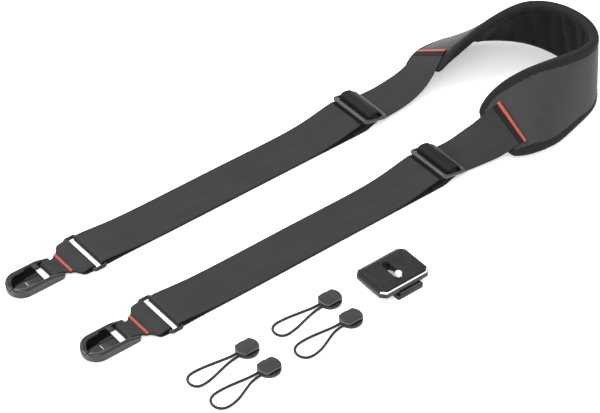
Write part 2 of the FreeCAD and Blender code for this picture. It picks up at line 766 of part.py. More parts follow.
def binding_profile(curves, edge, low, high):
    """Edge tape as a C round the pad's layers; edge is 1 for the upper edge, -1 for the lower."""
    tape = dim("binding_thickness")

    def profile(distance):
        half = pad_half_width(curves, distance)
        inner = half - dim("binding_width")
        web = half - tape
        points = [
            (inner, low),
            (half, low),
            (half, high),
            (inner, high),
            (inner, high - tape),
            (web, high - tape),
            (web, low + tape),
            (inner, low + tape),
        ]
        return [(edge * v, n) for v, n in points]
    return profile


def place_pad_piece(label, shape):
    item = feature(label, shape)
    return finish(item, label, "0", "0")


def make_pad(curves):
    gap = dim("pad_layer_gap")
    core = dim("foam_thickness") / 2
    panel_top = core + gap + dim("panel_thickness")
    lining_low = -core - gap - dim("lining_thickness")
    tape = dim("binding_thickness")
    trim = tape + gap
    full = pad_distances(curves)
    tucked = pad_distances(curves, dim("webbing_tuck"))
    foam = band_loft(curves, tucked, slab_profile(curves, trim, -core, core))
    place_pad_piece("pad_foam_core", foam)
    panel = band_loft(curves, full, slab_profile(curves, trim, core + gap, panel_top))
    place_pad_piece("pad_outer_panel", panel)
    lining = band_loft(curves, full, slab_profile(curves, trim, lining_low, -core - gap))
    place_pad_piece("pad_inner_lining", lining)
    low, high = lining_low - gap - tape, panel_top + gap + tape
    for name, edge in (("upper", 1), ("lower", -1)):
        tape_solid = band_loft(curves, full, binding_profile(curves, edge, low, high))
        place_pad_piece("pad_binding_" + name, tape_solid)
    for side, hem, sign in (("right", curves[3], 1), ("left", curves[4], -1)):
        start = hem + sign * dim("pad_bartack_offset")
        ends = sorted((start, start + sign * dim("bartack_width")))
        half = min(dim("bartack_length") / 2, pad_half_width(curves, start) - dim("binding_width"))
        bottom = panel_top + dim("bartack_lift")
        top = bottom + dim("bartack_height")
        rectangle_points = [(-half, bottom), (half, bottom), (half, top), (-half, top)]
        stitch = band_loft(curves, ends, lambda distance: rectangle_points)
        place_pad_piece(side + "_pad_bartack", stitch)


def make_lead(curves, side):
    """Webbing between a slider and the pad, tucked under the outer panel's hem."""
    travel, hem_start, hem_end = curves[2], curves[3], curves[4]
    tuck = dim("webbing_tuck") - dim("soft_clearance")
    if side == "right":
        start, end = travel[0], hem_start + tuck
    else:
        start, end = hem_end - tuck, travel[-1]
    half = dim("webbing_width") / 2 - dim("soft_clearance")
    thick = dim("webbing_thickness") / 2
    corners = [(-half, -thick), (half, -thick), (half, thick), (-half, thick)]
    count = 14
    distances = [start + (end - start) * i / count for i in range(count + 1)]
    solid = band_loft(curves, distances, lambda distance: corners)
    return place_pad_piece(side + "_pad_webbing", solid)


# ---------------------------------------------------------------- cord anchors


def make_puck(name, x, y):
    """Base disc with two cord holes and a waist, and a cap disc with two flats."""
    base_disc = cylinder(name + "_disc", "dims.puck_radius", "dims.puck_base", ("0", "0", "0"))
    neck = cylinder(name + "_neck", "dims.puck_neck_radius", "dims.puck_neck", ("0", "0", "dims.puck_base"))
    along = Rotation(Vector(0, 1, 0), 90)
    hole_radius = "dims.cord_diameter / 2 + dims.cord_hole_clearance"
    holes = []
    for edge, sign in (("low", "-"), ("high", "")):
        place = ("-dims.puck_radius - 1", sign + "dims.cord_spread", "dims.puck_base / 2")
        holes.append(cylinder("%s_%s_hole" % (name, edge), hole_radius, "dims.cord_depth + 1 + 0.3", place, along))
    base = cut(name + "_base", fuse(name + "_solid", [base_disc, neck]), fuse(name + "_holes", holes))
    finish(base, name + "_base", str(x), str(y))
    level = "dims.puck_base + dims.puck_neck"
    disc = cylinder(name + "_cap_disc", "dims.puck_radius", "dims.puck_cap", ("0", "0", level))
    flats = box(
        name + "_cap_flats",
        ("2 * dims.puck_radius + 2", "dims.puck_flat", "dims.puck_cap"),
        ("0", "0"),
        level,
    )
    finish(common(name + "_cap", disc, flats), name + "_cap", str(x), str(y))


def cord_path(points, height):
    """Straight runs joined by tangent arcs; returns the wire and prints the arcs' radii."""
    corners = [Vector(x, y, height) for x, y in points]
    edges = []
    radii = []
    last = corners[0]
    for before, corner, after in zip(corners, corners[1:], corners[2:]):
        into = (corner - before)
        out = (after - corner)
        shorter = min(into.Length, out.Length)
        half_turn = into.getAngle(out) / 2
        radius = 0.45 * shorter / math.tan(half_turn)
        radii.append(round(radius, 1))
        into_unit = Vector(into).normalize()
        out_unit = Vector(out).normalize()
        start = corner - into_unit * 0.45 * shorter
        end = corner + out_unit * 0.45 * shorter
        bisector = (out_unit - into_unit).normalize()
        sagitta = radius / math.cos(half_turn) - radius
        edges.append(Part.LineSegment(last, start).toShape())
        edges.append(Part.Arc(start, corner + bisector * sagitta, end).toShape())
        last = end
    edges.append(Part.LineSegment(last, corners[-1]).toShape())
    return Part.Wire(edges), radii


def make_cord(name, x, y, route):
    radius = dim("cord_diameter") / 2
    path, radii = cord_path(route, dim("puck_base") / 2)
    start = Vector(route[0][0], route[0][1], dim("puck_base") / 2)
    heading = Vector(route[1][0] - route[0][0], route[1][1] - route[0][1], 0)
    ring = Part.Wire(Part.Circle(start, heading, radius).toShape())
    tube = path.makePipeShell([ring], True, False)
    expected = math.pi * radius ** 2 * path.Length
    print("%s_cord length %.1f mm, volume %.4f of section x length, radii %s"
          % (name, path.Length, tube.Volume / expected, radii))
    finish(feature(name + "_cord", tube), name + "_cord", str(x), str(y))


# ---------------------------------------------------------------- camera plate


def stadium(name, width, length, height, bottom):
    """A slot-shaped solid along Y, centred on the origin."""
    straight = "(%s) - (%s)" % (length, width)
    pieces = [box(name + "_middle", (width, straight, height), ("0", "0"), bottom)]
    for edge, sign in (("low", "-"), ("high", "")):
        centre = ("0", "%s(%s) / 2" % (sign, straight), bottom)
        pieces.append(cylinder("%s_%s_end" % (name, edge), "(%s) / 2" % width, height, centre))
    return fuse(name, pieces)


def make_plate():
    place = ("dims.plate_x", "dims.plate_y")
    slab_top = "dims.base_height + dims.plate_thickness"
    outline = octagon(dim("plate_length"), dim("plate_depth"), dim("plate_corner"))
    bevel = dim("plate_bevel")
    small = octagon(dim("plate_length") - 2 * bevel, dim("plate_depth") - 2 * bevel, dim("plate_corner"))
    bottom, top = dim("base_height"), dim("base_height") + dim("plate_thickness")
    straight = Part.makeLoft([raised(outline, bottom), raised(outline, top - bevel)], True, True)
    sloped = Part.makeLoft([raised(outline, top - bevel), raised(small, top)], True, True)
    slab = feature("plate_slab", straight.fuse(sloped).removeSplitter())
    recess_depth = "dims.grip_thickness - dims.grip_proud"
    recess_size = (
        "dims.plate_length - 2 * dims.grip_inset + 2 * dims.grip_gap",
        "dims.plate_depth - 2 * dims.grip_inset + 2 * dims.grip_gap",
        "dims.plate_thickness",
    )
    recess = box("plate_recess", recess_size, ("0", "0"), "%s - (%s)" % (slab_top, recess_depth))
    slot = stadium("plate_slot", "dims.slot_width", "dims.slot_length", "3 * dims.plate_thickness", "0")
    plate = cut("plate_body", slab, fuse("plate_cuts", [recess, slot]))
    finish(plate, "plate_body", *place)
    make_grip(place, slab_top, recess_depth)
    make_base(place)
    make_screw()


def octagon(length, depth, corner):
    """A rectangle with cut corners, as (x, y) points."""
    half_x, half_y = length / 2, depth / 2
    quarter = [(half_x, half_y - corner), (half_x - corner, half_y)]
    points = []
    for sign_x, sign_y in ((1, 1), (-1, 1), (-1, -1), (1, -1)):
        pair = [(x * sign_x, y * sign_y) for x, y in quarter]
        points += pair if sign_x * sign_y > 0 else pair[::-1]
    return points


def raised(points, height):
    corners = [Vector(x, y, height) for x, y in points]
    return Part.makePolygon(corners + corners[:1])


def make_grip(place, slab_top, recess_depth):
    size = (
        "dims.plate_length - 2 * dims.grip_inset",
        "dims.plate_depth - 2 * dims.grip_inset",
        "dims.grip_thickness",
    )
    mat = box("grip_mat", size, ("0", "0"), "%s - (%s)" % (slab_top, recess_depth))
    wide = "dims.slot_width + 2 * dims.window_margin"
    long = "dims.slot_length + 2 * dims.window_margin"
    window = stadium("grip_window", wide, long, "dims.plate_thickness", "%s - dims.plate_thickness / 2" % slab_top)
    finish(cut("grip_pad", mat, window), "plate_grip_pad", *place)


def make_base(place):
    """Dovetail base under the slab, grooved along both sides, open under the screw."""
    shift = "dims.base_shift"
    block = box("base_block", ("dims.base_length", "dims.base_depth", "dims.base_height"), (shift, "0"), "0")
    cuts = []
    for edge, sign in (("low", "-"), ("high", "+")):
        middle = "%s %s dims.base_length / 2" % (shift, sign)
        size = ("2 * dims.groove_depth", "dims.base_depth + 2", "dims.groove_height")
        level = "dims.base_height - dims.groove_height"
        cuts.append(box("base_%s_groove" % edge, size, (middle, "0"), level))
    pocket_width = "2 * (dims.head_radius + dims.head_clearance)"
    pocket_length = "%s + dims.slot_length - dims.slot_width" % pocket_width
    cuts.append(stadium("base_pocket", pocket_width, pocket_length, "dims.base_height + 2", "-1"))
    base = cut("dovetail_base", block, fuse("base_cuts", cuts))
    finish(base, "plate_dovetail_base", *place)


def make_screw():
    """The camera screw and its washer at the near end of the slot."""
    place = (
        "dims.plate_x",
        "dims.plate_y - (dims.slot_length - dims.slot_width) / 2 + dims.screw_setback",
    )
    washer_low = "dims.base_height - dims.washer_gap - dims.washer_thickness"
    head_low = "%s - dims.washer_gap - dims.head_height" % washer_low
    shank_top = "dims.base_height + dims.plate_thickness + dims.grip_proud + dims.screw_above"
    head = cylinder("screw_head", "dims.head_radius", "dims.head_height", ("0", "0", head_low))
    thread_low = "%s - dims.screw_above" % shank_top
    neck_height = "%s - (%s)" % (thread_low, head_low)
    neck = cylinder("screw_neck", "dims.screw_neck_radius", neck_height, ("0", "0", head_low))
    thread = cylinder("screw_thread", "dims.screw_radius", "dims.screw_above", ("0", "0", thread_low))
    coin = box(
        "screw_coin_slot",
        ("3 * dims.head_radius", "dims.coin_slot_width", "2 * dims.coin_slot_depth"),
        ("0", "0"),
        "%s - dims.coin_slot_depth" % head_low,
    )
    finish(cut("screw", fuse("screw_solid", [head, neck, thread]), coin), "plate_screw", *place)
    ring = cylinder("washer_disc", "dims.head_radius", "dims.washer_thickness", ("0", "0", washer_low))
    hole = cylinder(
        "washer_hole",
        "dims.screw_neck_radius + dims.washer_clearance",
        "3 * dims.washer_thickness",
        ("0", "0", "%s - dims.washer_thickness" % washer_low),
    )
    finish(cut("washer", ring, hole), "screw_washer", *place)


def build():
    curves = centre_curves()
    make_pad(curves)
    for side in ("right", "left"):
        make_lead(curves, side)
        make_slider(side)
        make_strap(side)
        make_ring(side)
        make_tab(side)
        make_housing(side)
        make_tongue(side)
    for number, x, y, route in ANCHORS:
        make_puck(number + "_anchor", x, y)
        make_cord(number + "_anchor", x, y, route)
    make_plate()


def check_and_write():
    doc.recompute()
    for item in doc.Objects:
        if "Invalid" in item.State or "Error" in item.State:
            raise RuntimeError("%s did not recompute: %s" % (item.Name, item.State))
    for item in finished:
        shape = item.Shape
        if shape.isNull() or not shape.isValid() or len(shape.Solids) != 1:
            raise RuntimeError("%s is not one valid solid" % item.Label)
        if shape.Volume < 1:
            raise RuntimeError("%s has no volume" % item.Label)
    os.makedirs("parts", exist_ok=True)
    for item in finished:
        item.Shape.exportStep("parts/%s.step" % item.Label)
    total = Part.makeCompound([item.Shape for item in finished]).BoundBox
    print("%d nodes, x %.2f to %.2f, y %.2f to %.2f, z %.2f to %.2f"
          % (len(finished), total.XMin, total.XMax, total.YMin, total.YMax, total.ZMin, total.ZMax))


build()
check_and_write()
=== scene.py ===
import math
import random

import bmesh
import bpy
import numpy as np
from mathutils import Matrix, Vector


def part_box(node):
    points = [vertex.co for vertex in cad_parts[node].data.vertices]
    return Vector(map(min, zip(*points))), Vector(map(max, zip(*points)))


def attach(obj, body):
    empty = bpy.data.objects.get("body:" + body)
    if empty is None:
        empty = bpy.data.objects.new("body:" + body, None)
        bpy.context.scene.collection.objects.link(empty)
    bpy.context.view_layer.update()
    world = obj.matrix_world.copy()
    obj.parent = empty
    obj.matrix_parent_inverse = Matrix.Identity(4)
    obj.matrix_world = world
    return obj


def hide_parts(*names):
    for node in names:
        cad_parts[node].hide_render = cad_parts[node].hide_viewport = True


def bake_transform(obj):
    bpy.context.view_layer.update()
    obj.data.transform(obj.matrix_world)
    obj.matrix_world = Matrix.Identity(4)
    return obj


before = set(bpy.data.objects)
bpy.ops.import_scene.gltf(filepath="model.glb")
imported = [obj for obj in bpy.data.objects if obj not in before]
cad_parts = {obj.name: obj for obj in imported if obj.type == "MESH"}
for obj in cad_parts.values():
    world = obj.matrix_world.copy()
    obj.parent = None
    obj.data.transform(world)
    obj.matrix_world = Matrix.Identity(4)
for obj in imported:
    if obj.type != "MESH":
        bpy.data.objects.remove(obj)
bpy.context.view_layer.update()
rng = random.Random(11)

# Lengths below are in millimetres from the right ring's slit, which the frame gives.
MM = 0.001
SIDES = ("right", "left")

# webbing
WEB_WIDTH = 45.0
WEB_THICK = 1.5
WEB_AIR = 0.3
LAYER_GAP = 0.4
JOIN_GAP = 0.4
# ring
RING_BAR = 1.9
RING_HALF_X = 6.2
RING_HALF_Y = WEB_WIDTH / 2 + 0.9 + RING_BAR
RING_CORNER = 3.0
FOLD = RING_BAR + WEB_AIR + WEB_THICK / 2
RING_Z = FOLD + WEB_THICK / 2
# tab
TAB_WAIST = 14.5
TAB_TONGUE = 10.8
SEAM_START = -RING_HALF_X - 12.8
SEAM_END = -RING_HALF_X - 22.8
CROSS_X = -RING_HALF_X - 32.8
CROSS_Z = 4.0
CROSS_BAR = 1.8
# link housing
HOUSING_HALF = 15.0
HOUSING_HIGH = 9.6
HOUSING_WALL = 3.6
HOUSING_FLOOR = 2.2
HOUSING_TAIL = CROSS_X + 8
HOUSING_TIP = CROSS_X - 45
TIP_CENTRE = HOUSING_TIP + HOUSING_HALF
WINDOW_X = CROSS_X - 8.6
LIP_X = CROSS_X - 20
LIP_INSET = 2.0
LIP_THICK = 2.0
TIP_NOTCH = 3.0
TONGUE_LONG = 15.5
TONGUE_HALF = 4.0
TONGUE_GAP = 0.3
# slider
SLIDER_X = 327.0
SLIDER_Z = 10.6
SLIDER_TILT = math.radians(12)
SLIDER_LONG = 30.0
SLIDER_WIDE = 52.0
SLIDER_THICK = 3.4
END_BAR = 4.5
CENTRE_BAR = 5.0
SIDE_BAR = 3.0
# shoulder pad
PAD_HALF = 40.0
PAD_END_HALF = 24.5
RIGHT_END = 60.0
LEFT_END = 105.0
PAD_SINK = 2.8
SINK_REACH = 60.0
PAD_OVERHANG = 9.0
PAD_DEPTH = 5.0
PAD_LIFT = 0.4
TAPE = 8.5
RIB_PITCH = 19.0
LEAD_RISE = 2.8
LEAD_EASE = 16.0
SEWN_END = 18.0
HEM_EASE = 26.0
PAD_SWELL = 2.9
HEM_FOLD = 7.5
FOLD_STEP = 0.9
# loose pieces
PUCK = 11.0
PUCK_BASE = 3.2
PUCK_NECK = 0.9
PUCK_CAP = 1.7
PUCK_FLAT = 8.1
CORD = 2.7
CORD_SIDES = 24
BRAID_LAY = 4.2
BRAID_STRANDS = 8
PLATE_HALF_X = 28.75
PLATE_HALF_Y = 21.25
PLATE_CORNER = 5.0
PLATE_TOP = 14.0
PLATE_LOW = 8.0
GRIP_RISE = 0.3

# x, y, lean from the table and turn from square to the line, in degrees
PAD_LINE = [
    (399, -12.5, 27, 19),
    (439, -23.5, 59, 11),
    (479, -26, 81, 3),
    (507, -19.5, 87, 0),
    (523, -2, 85, 0),
    (531, 27, 79, 0),
    (527, 60, 71, 0),
    (510, 88, 61, 0),
    (481, 105, 50, 0),
    (445, 114, 38, 0),
    (412, 114, 28, 0),
]
RIGHT_LEAD = [(355, -0.8, 4.5, 3, 2), (367, -3.3, 7.7, 9, 6), (383, -7.7, 13.6, 18, 13)]
LEFT_LEAD = [(396, 112.8, 13, 18, 0), (376, 110.6, 6.7, 8, 0), (353, 109.2, 4.3, 3, 0)]
LEAD_END = (1, 0)

NARROW_LOOP = [
    (-6.3, 1.8),
    (-16, 1.8),
    (-30, 4.2),
    (-46, 6.8),
    (-59.3, 7),
    (-64.6, 1.7),
    (-64.6, -5.8),
    (-59.3, -11.1),
    (-46, -9.6),
    (-31, -5),
    (-17, -1.8),
    (-6.3, -1.8),
]
WIDE_LOOP = [
    (-6.3, 1.8),
    (-17, 1.8),
    (-31, 3.8),
    (-45, 5.6),
    (-59.1, 5),
    (-65, -0.9),
    (-65, -9.1),
    (-59.1, -15),
    (-46, -14),
    (-33, -8.2),
    (-19.2, -1.8),
    (-6.3, -1.8),
]
ANCHORS = {"first": NARROW_LOOP, "second": WIDE_LOOP, "third": NARROW_LOOP, "fourth": WIDE_LOOP}


def middle(node):
    low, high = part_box(node)
    return (Vector(low) + Vector(high)) / 2


SLIT = Vector((*middle("right_ring")[:2], 0))
SHIFT = {"right": Vector(), "left": Vector((*(middle("left_ring") - middle("right_ring"))[:2], 0))}


def to_frame(points, side="right"):
    """Millimetre points about a side's slit, as frame coordinates in metres."""
    start = np.array(SLIT + SHIFT[side])
    return np.array(points, float) * MM + start


# ---- splines


class Spline:
    """Cubic spline through points; straight on past its ends, clamped where slopes are given."""

    def __init__(self, knots, points, slopes=None):
        self.x = np.array(knots, float)
        self.y = np.array(points, float).reshape(len(knots), -1)
        step = np.diff(self.x)
        rise = np.diff(self.y, axis=0) / step[:, None]
        count = len(self.x)
        matrix = np.eye(count)
        right = np.zeros_like(self.y)
        for i in range(1, count - 1):
            matrix[i, i - 1:i + 2] = step[i - 1], 2 * (step[i - 1] + step[i]), step[i]
            right[i] = 6 * (rise[i] - rise[i - 1])
        if slopes is not None:
            matrix[0, :2] = 2 * step[0], step[0]
            matrix[-1, -2:] = step[-1], 2 * step[-1]
            right[0] = 6 * (rise[0] - slopes[0])
            right[-1] = 6 * (slopes[1] - rise[-1])
        self.bend = np.linalg.solve(matrix, right)

    def value(self, at):
        i = int(np.clip(np.searchsorted(self.x, at) - 1, 0, len(self.x) - 2))
        width = self.x[i + 1] - self.x[i]
        a = (self.x[i + 1] - at) / width
        b = 1 - a
        curved = (a ** 3 - a) * self.bend[i] + (b ** 3 - b) * self.bend[i + 1]
        return a * self.y[i] + b * self.y[i + 1] + curved * width ** 2 / 6

    def slope(self, at):
        reach = 0.05
        change = self.value(at + reach) - self.value(at - reach)
        return change / np.linalg.norm(change)


def chord_knots(points):
    gaps = np.linalg.norm(np.diff(np.array(points, float), axis=0), axis=1)
    return np.concatenate([[0.0], np.cumsum(gaps)])


def resample(points, step, closed=False):
    """Points a step apart on a smooth curve through the given ones."""
    points = [tuple(p) for p in points]
    if closed:
        points = points[-3:] + points + points[:4]
    knots = chord_knots(points)
    curve = Spline(knots, points)
    low, high = (knots[3], knots[-4]) if closed else (knots[0], knots[-1])
    count = max(2, int(round((high - low) / step)))
    places = [curve.value(low + (high - low) * i / count) for i in range(count + 1)]
    return np.array(places[:-1] if closed else places)


def arc(centre, radius, start, end, steps):
    turns = [math.radians(start + (end - start) * i / steps) for i in range(steps + 1)]
    return [(centre[0] + radius * math.cos(t), centre[1] + radius * math.sin(t)) for t in turns]


def smooth_step(value):
    share = min(max(value, 0.0), 1.0)
    return share * share * (3 - 2 * share)


# ---- mesh helpers


def claim(item, body, slot, *nodes):
    """Ties a piece to its body and hides the CAD nodes it stands for; the slot is not used."""
    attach(item, body)
    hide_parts(*nodes)


def new_object(name, mesh, material):
    item = bpy.data.objects.new(name, mesh)
    bpy.context.scene.collection.objects.link(item)
    mesh.materials.clear()
    mesh.materials.append(material)
    return item


def shade(mesh, angle=35):
    mesh.shade_smooth()
    mesh.set_sharp_from_angle(angle=math.radians(angle))


def mesh_piece(name, verts, faces, material, uvs=None, angle=35):
    mesh = bpy.data.meshes.new(name)
    mesh.from_pydata([tuple(v) for v in verts], [], faces)
    if uvs is not None:
        layer = mesh.uv_layers.new(name="cloth")
        for loop in mesh.loops:
            layer.data[loop.index].uv = uvs[loop.vertex_index]
    shade(mesh, angle)
    return new_object(name, mesh, material)


def skin(name, rings, material, uvs=None, closed=False, angle=35):
    """A skin over rings of equally many points in the frame; open ends are capped."""
    size = len(rings[0])
    verts = [point for ring in rings for point in ring]
    faces = []
    spans = len(rings) if closed else len(rings) - 1
    for i in range(spans):
        first, second = i * size, (i + 1) % len(rings) * size
        for k in range(size):
            j = (k + 1) % size
            faces.append((first + k, first + j, second + j, second + k))
    if not closed:
        faces.append(tuple(range(size))[::-1])
        last = (len(rings) - 1) * size
        faces.append(tuple(last + k for k in range(size)))
    flat = None if uvs is None else [uv for ring in uvs for uv in ring]
    piece = mesh_piece(name, verts, faces, material, flat, angle)
    fix_normals(piece.data)
    return piece


def loft(name, rings, material, uvs=None, closed=False, side="right", angle=35):
    """A skin over rings in millimetres from a side's slit."""
    rings = [to_frame(ring, side) for ring in rings]
    return skin(name, rings, material, uvs, closed, angle)


def paint(piece, material, faces):
    """Gives some of a piece's faces a second material."""
    piece.data.materials.append(material)
    for face in faces:
        face.material_index = 1


def fix_normals(mesh):
    work = bmesh.new()
    work.from_mesh(mesh)
    bmesh.ops.recalc_face_normals(work, faces=work.faces)
    work.to_mesh(mesh)
    work.free()


def join(name, parts):
    """Joins loose objects into the first and names it."""
    with bpy.context.temp_override(active_object=parts[0], selected_editable_objects=parts):
        bpy.ops.object.join()
    parts[0].name = name
    return parts[0]


def rounded(half_x, half_y, radius, steps=6, centre=(0.0, 0.0)):
    """A rectangle with round corners, as points."""
    points = []
    for quarter, (sx, sy) in enumerate(((1, 1), (-1, 1), (-1, -1), (1, -1))):
        corner = (centre[0] + sx * (half_x - radius), centre[1] + sy * (half_y - radius))
        points += arc(corner, radius, 90 * quarter, 90 * quarter + 90, steps)
    return points


def circle(radius, steps=64, centre=(0.0, 0.0)):
    return arc(centre, radius, 0, 360 - 360 / steps, steps - 1)


def slab(name, outlines, low, high, bevel, material, centre=(0.0, 0.0), side="right"):
    """A plate of the given outlines, holes after the first, with rounded edges."""
    curve = bpy.data.curves.new(name, "CURVE")
    curve.dimensions = "2D"
    curve.fill_mode = "BOTH"
    curve.extrude = (high - low) / 2 - bevel
    curve.bevel_depth = bevel
    curve.bevel_resolution = 3
    curve.offset = -bevel
    for outline in outlines:
        path = curve.splines.new("POLY")
        path.points.add(len(outline) - 1)
        path.use_cyclic_u = True
        for point, (x, y) in zip(path.points, outline):
            point.co = (x, y, 0, 1)
    item = bpy.data.objects.new(name, curve)
    mesh = bpy.data.meshes.new_from_object(item)
    bpy.data.objects.remove(item)
    middle_z = (low + high) / 2
    for vertex in mesh.vertices:
        x, y, z = vertex.co
        vertex.co = to_frame([(x + centre[0], y + centre[1], z + middle_z)], side)[0]
    work = bmesh.new()
    work.from_mesh(mesh)
    bmesh.ops.remove_doubles(work, verts=work.verts, dist=1e-6)
    bmesh.ops.recalc_face_normals(work, faces=work.faces)
    work.to_mesh(mesh)
    work.free()
    shade(mesh)
    return new_object(name, mesh, material)


# ---- materials


class Shader:
    """A principled material with short ways to add colour and relief."""

    def __init__(self, name, roughness, metallic=0.0, sheen=0.0, specular=0.5):
        self.material = bpy.data.materials.new(name)
        self.material.use_nodes = True
        self.tree = self.material.node_tree
        self.main = self.tree.nodes["Principled BSDF"]
        self.main.inputs["Roughness"].default_value = roughness
        self.main.inputs["Metallic"].default_value = metallic
        self.main.inputs["Sheen Weight"].default_value = sheen
        self.main.inputs["Sheen Roughness"].default_value = 0.45
        self.main.inputs["Specular IOR Level"].default_value = specular

    def node(self, kind, **values):
        made = self.tree.nodes.new(kind)
        for key, value in values.items():
            setattr(made, key, value)
        return made

    def link(self, source, target):
        self.tree.links.new(source, target)

    def coordinates(self, cloth=False, scale=(1, 1, 1)):
        if cloth:
            source = self.node("ShaderNodeUVMap", uv_map="cloth").outputs["UV"]
        else:
            source = self.node("ShaderNodeTexCoord").outputs["Object"]
        mapping = self.node("ShaderNodeMapping")
        mapping.inputs["Scale"].default_value = scale
        self.link(source, mapping.inputs["Vector"])
        return mapping.outputs["Vector"]

    def noise(self, where, scale, detail=3.0):
        made = self.node("ShaderNodeTexNoise")
        made.inputs["Scale"].default_value = scale
        made.inputs["Detail"].default_value = detail
        self.link(where, made.inputs["Vector"])
        return made.outputs["Fac"]

    def wave(self, where, scale, direction):
        made = self.node("ShaderNodeTexWave", bands_direction=direction)
        made.inputs["Scale"].default_value = scale
        self.link(where, made.inputs["Vector"])
        return made.outputs["Fac"]

    def maths(self, operation, first, second):
        made = self.node("ShaderNodeMath", operation=operation)
        for socket, value in zip(made.inputs, (first, second)):
            if isinstance(value, (int, float)):
                socket.default_value = value
            else:
                self.link(value, socket)
        return made.outputs["Value"]

    def ramp(self, fac, dark, light, low=0.3, high=0.7):
        made = self.node("ShaderNodeValToRGB")
        made.color_ramp.elements[0].position = low
        made.color_ramp.elements[1].position = high
        made.color_ramp.elements[0].color = (*dark, 1)
        made.color_ramp.elements[1].color = (*light, 1)
        self.link(fac, made.inputs["Fac"])
        return made.outputs["Color"]

    def colour(self, fac, dark, light, low=0.3, high=0.7):
        self.link(self.ramp(fac, dark, light, low, high), self.main.inputs["Base Color"])

    def rough(self, fac, low, high):
        made = self.node("ShaderNodeMapRange")
        made.inputs["To Min"].default_value = low
        made.inputs["To Max"].default_value = high
        self.link(fac, made.inputs["Value"])
        self.link(made.outputs["Result"], self.main.inputs["Roughness"])

    def relief(self, height, distance, strength=1.0):
        made = self.node("ShaderNodeBump")
        made.inputs["Distance"].default_value = distance
        made.inputs["Strength"].default_value = strength
        self.link(height, made.inputs["Height"])
        self.link(made.outputs["Normal"], self.main.inputs["Normal"])


def grey(value):
    return (value, value, value)


def woven(name, dark, light, pitch, relief, roughness, sheen):
    """Plain-woven cloth: crossing yarns a pitch apart, mottled a little."""
    made = Shader(name, roughness, sheen=sheen, specular=0.2)
    where = made.coordinates(cloth=True)
    period = 2 * math.pi / (20 * pitch)
    along = made.wave(where, period, "X")
    across = made.wave(where, period * 0.62, "Y")
    yarns = made.maths("MULTIPLY", along, across)
    mottle = made.noise(where, 90, 4)
    tone = made.maths("ADD", made.maths("MULTIPLY", yarns, 0.35), made.maths("MULTIPLY", mottle, 0.65))
    made.colour(tone, dark, light, 0.25, 0.75)
    made.relief(made.maths("ADD", yarns, made.maths("MULTIPLY", mottle, 0.3)), relief, 0.6)
    return made.material


def twill_webbing(name, dark, light):
    """Dense strap webbing: fine diagonal ribs crossed by yarns."""
    made = Shader(name, 0.6, specular=0.1)
    where = made.coordinates(cloth=True)
    ribs = made.wave(where, 0.5 / 0.0011, "DIAGONAL")
    yarns = made.wave(where, 0.5 / 0.0008, "Y")
    fine = made.maths("ADD", made.maths("MULTIPLY", ribs, 0.6), made.maths("MULTIPLY", yarns, 0.4))
    mottle = made.noise(made.coordinates(cloth=True, scale=(0.3, 1, 1)), 60, 3)
    tone = made.maths("ADD", made.maths("MULTIPLY", fine, 0.3), made.maths("MULTIPLY", mottle, 0.7))
    made.colour(tone, dark, light, 0.2, 0.8)
    made.relief(fine, 0.00012, 0.5)
    return made.material


def grained(made, colours, cloud, gloss, grain, scale=(1, 1, 1)):
    """Cloudy colour, uneven gloss and fine grain, each from a noise of its own."""
    where = made.coordinates(scale=scale)
    made.colour(made.noise(where, *cloud), *colours)
    made.rough(made.noise(where, *gloss[:2]), *gloss[2:])
    made.relief(made.noise(where, *grain[:2]), *grain[2:])
    return made.material


def moulded(name, dark, light, roughness, grain=0.00003, specular=0.32):
    """Moulded plastic."""
    made = Shader(name, roughness, specular=specular)
    gloss = (400, 4, roughness - 0.06, roughness + 0.1)
    return grained(made, (dark, light), (55, 3), gloss, (1800, 3, grain, 0.4))


def brushed(name, dark, light, roughness, scale):
    """Machined metal, its tool lines drawn out by the scale."""
    made = Shader(name, roughness, metallic=1.0)
    gloss = (120, 3, roughness - 0.05, roughness + 0.12)
    return grained(made, (dark, light), (700, 3), gloss, (1500, 2, 0.00002, 0.4), scale)


def anodised():
    """Black anodised metal: satin, with a slight bloom."""
    made = Shader("black_anodised", 0.32, specular=0.25)
    colours = grey(0.004), grey(0.008)
    return grained(made, colours, (80, 3), (500, 3, 0.26, 0.42), (2500, 2, 0.00002, 0.5))


def rubber_grip():
    made = Shader("rubber_grip", 0.55, specular=0.12)
    where = made.coordinates()
    made.colour(made.noise(where, 140, 3), grey(0.008), grey(0.014))
    made.relief(made.noise(where, 2200, 4), 0.00006, 0.6)
    return made.material


def thread(name, dark, light):
    """Sewing thread: twisted plies along each stitch."""
    made = Shader(name, 0.55, specular=0.2)
    where = made.coordinates()
    made.colour(made.noise(where, 900, 2), dark, light, 0.35, 0.65)
    made.relief(made.wave(where, 900, "DIAGONAL"), 0.00008, 0.6)
    return made.material


def foam():
    made = Shader("foam", 0.95)
    where = made.coordinates()
    cells = made.node("ShaderNodeTexVoronoi")
    cells.inputs["Scale"].default_value = 1400
    made.link(where, cells.inputs["Vector"])
    made.colour(cells.outputs["Distance"], grey(0.02), grey(0.05), 0.1, 0.8)
    made.relief(cells.outputs["Distance"], 0.0002, 0.5)
    return made.material


def studio_floor():
    made = Shader("studio_floor", 0.9)
    where = made.coordinates()
    made.colour(made.noise(where, 3, 2), grey(0.93), grey(0.95))
    made.main.inputs["Emission Color"].default_value = (1, 1, 1, 1)
    made.main.inputs["Emission Strength"].default_value = 0.3
    return made.material


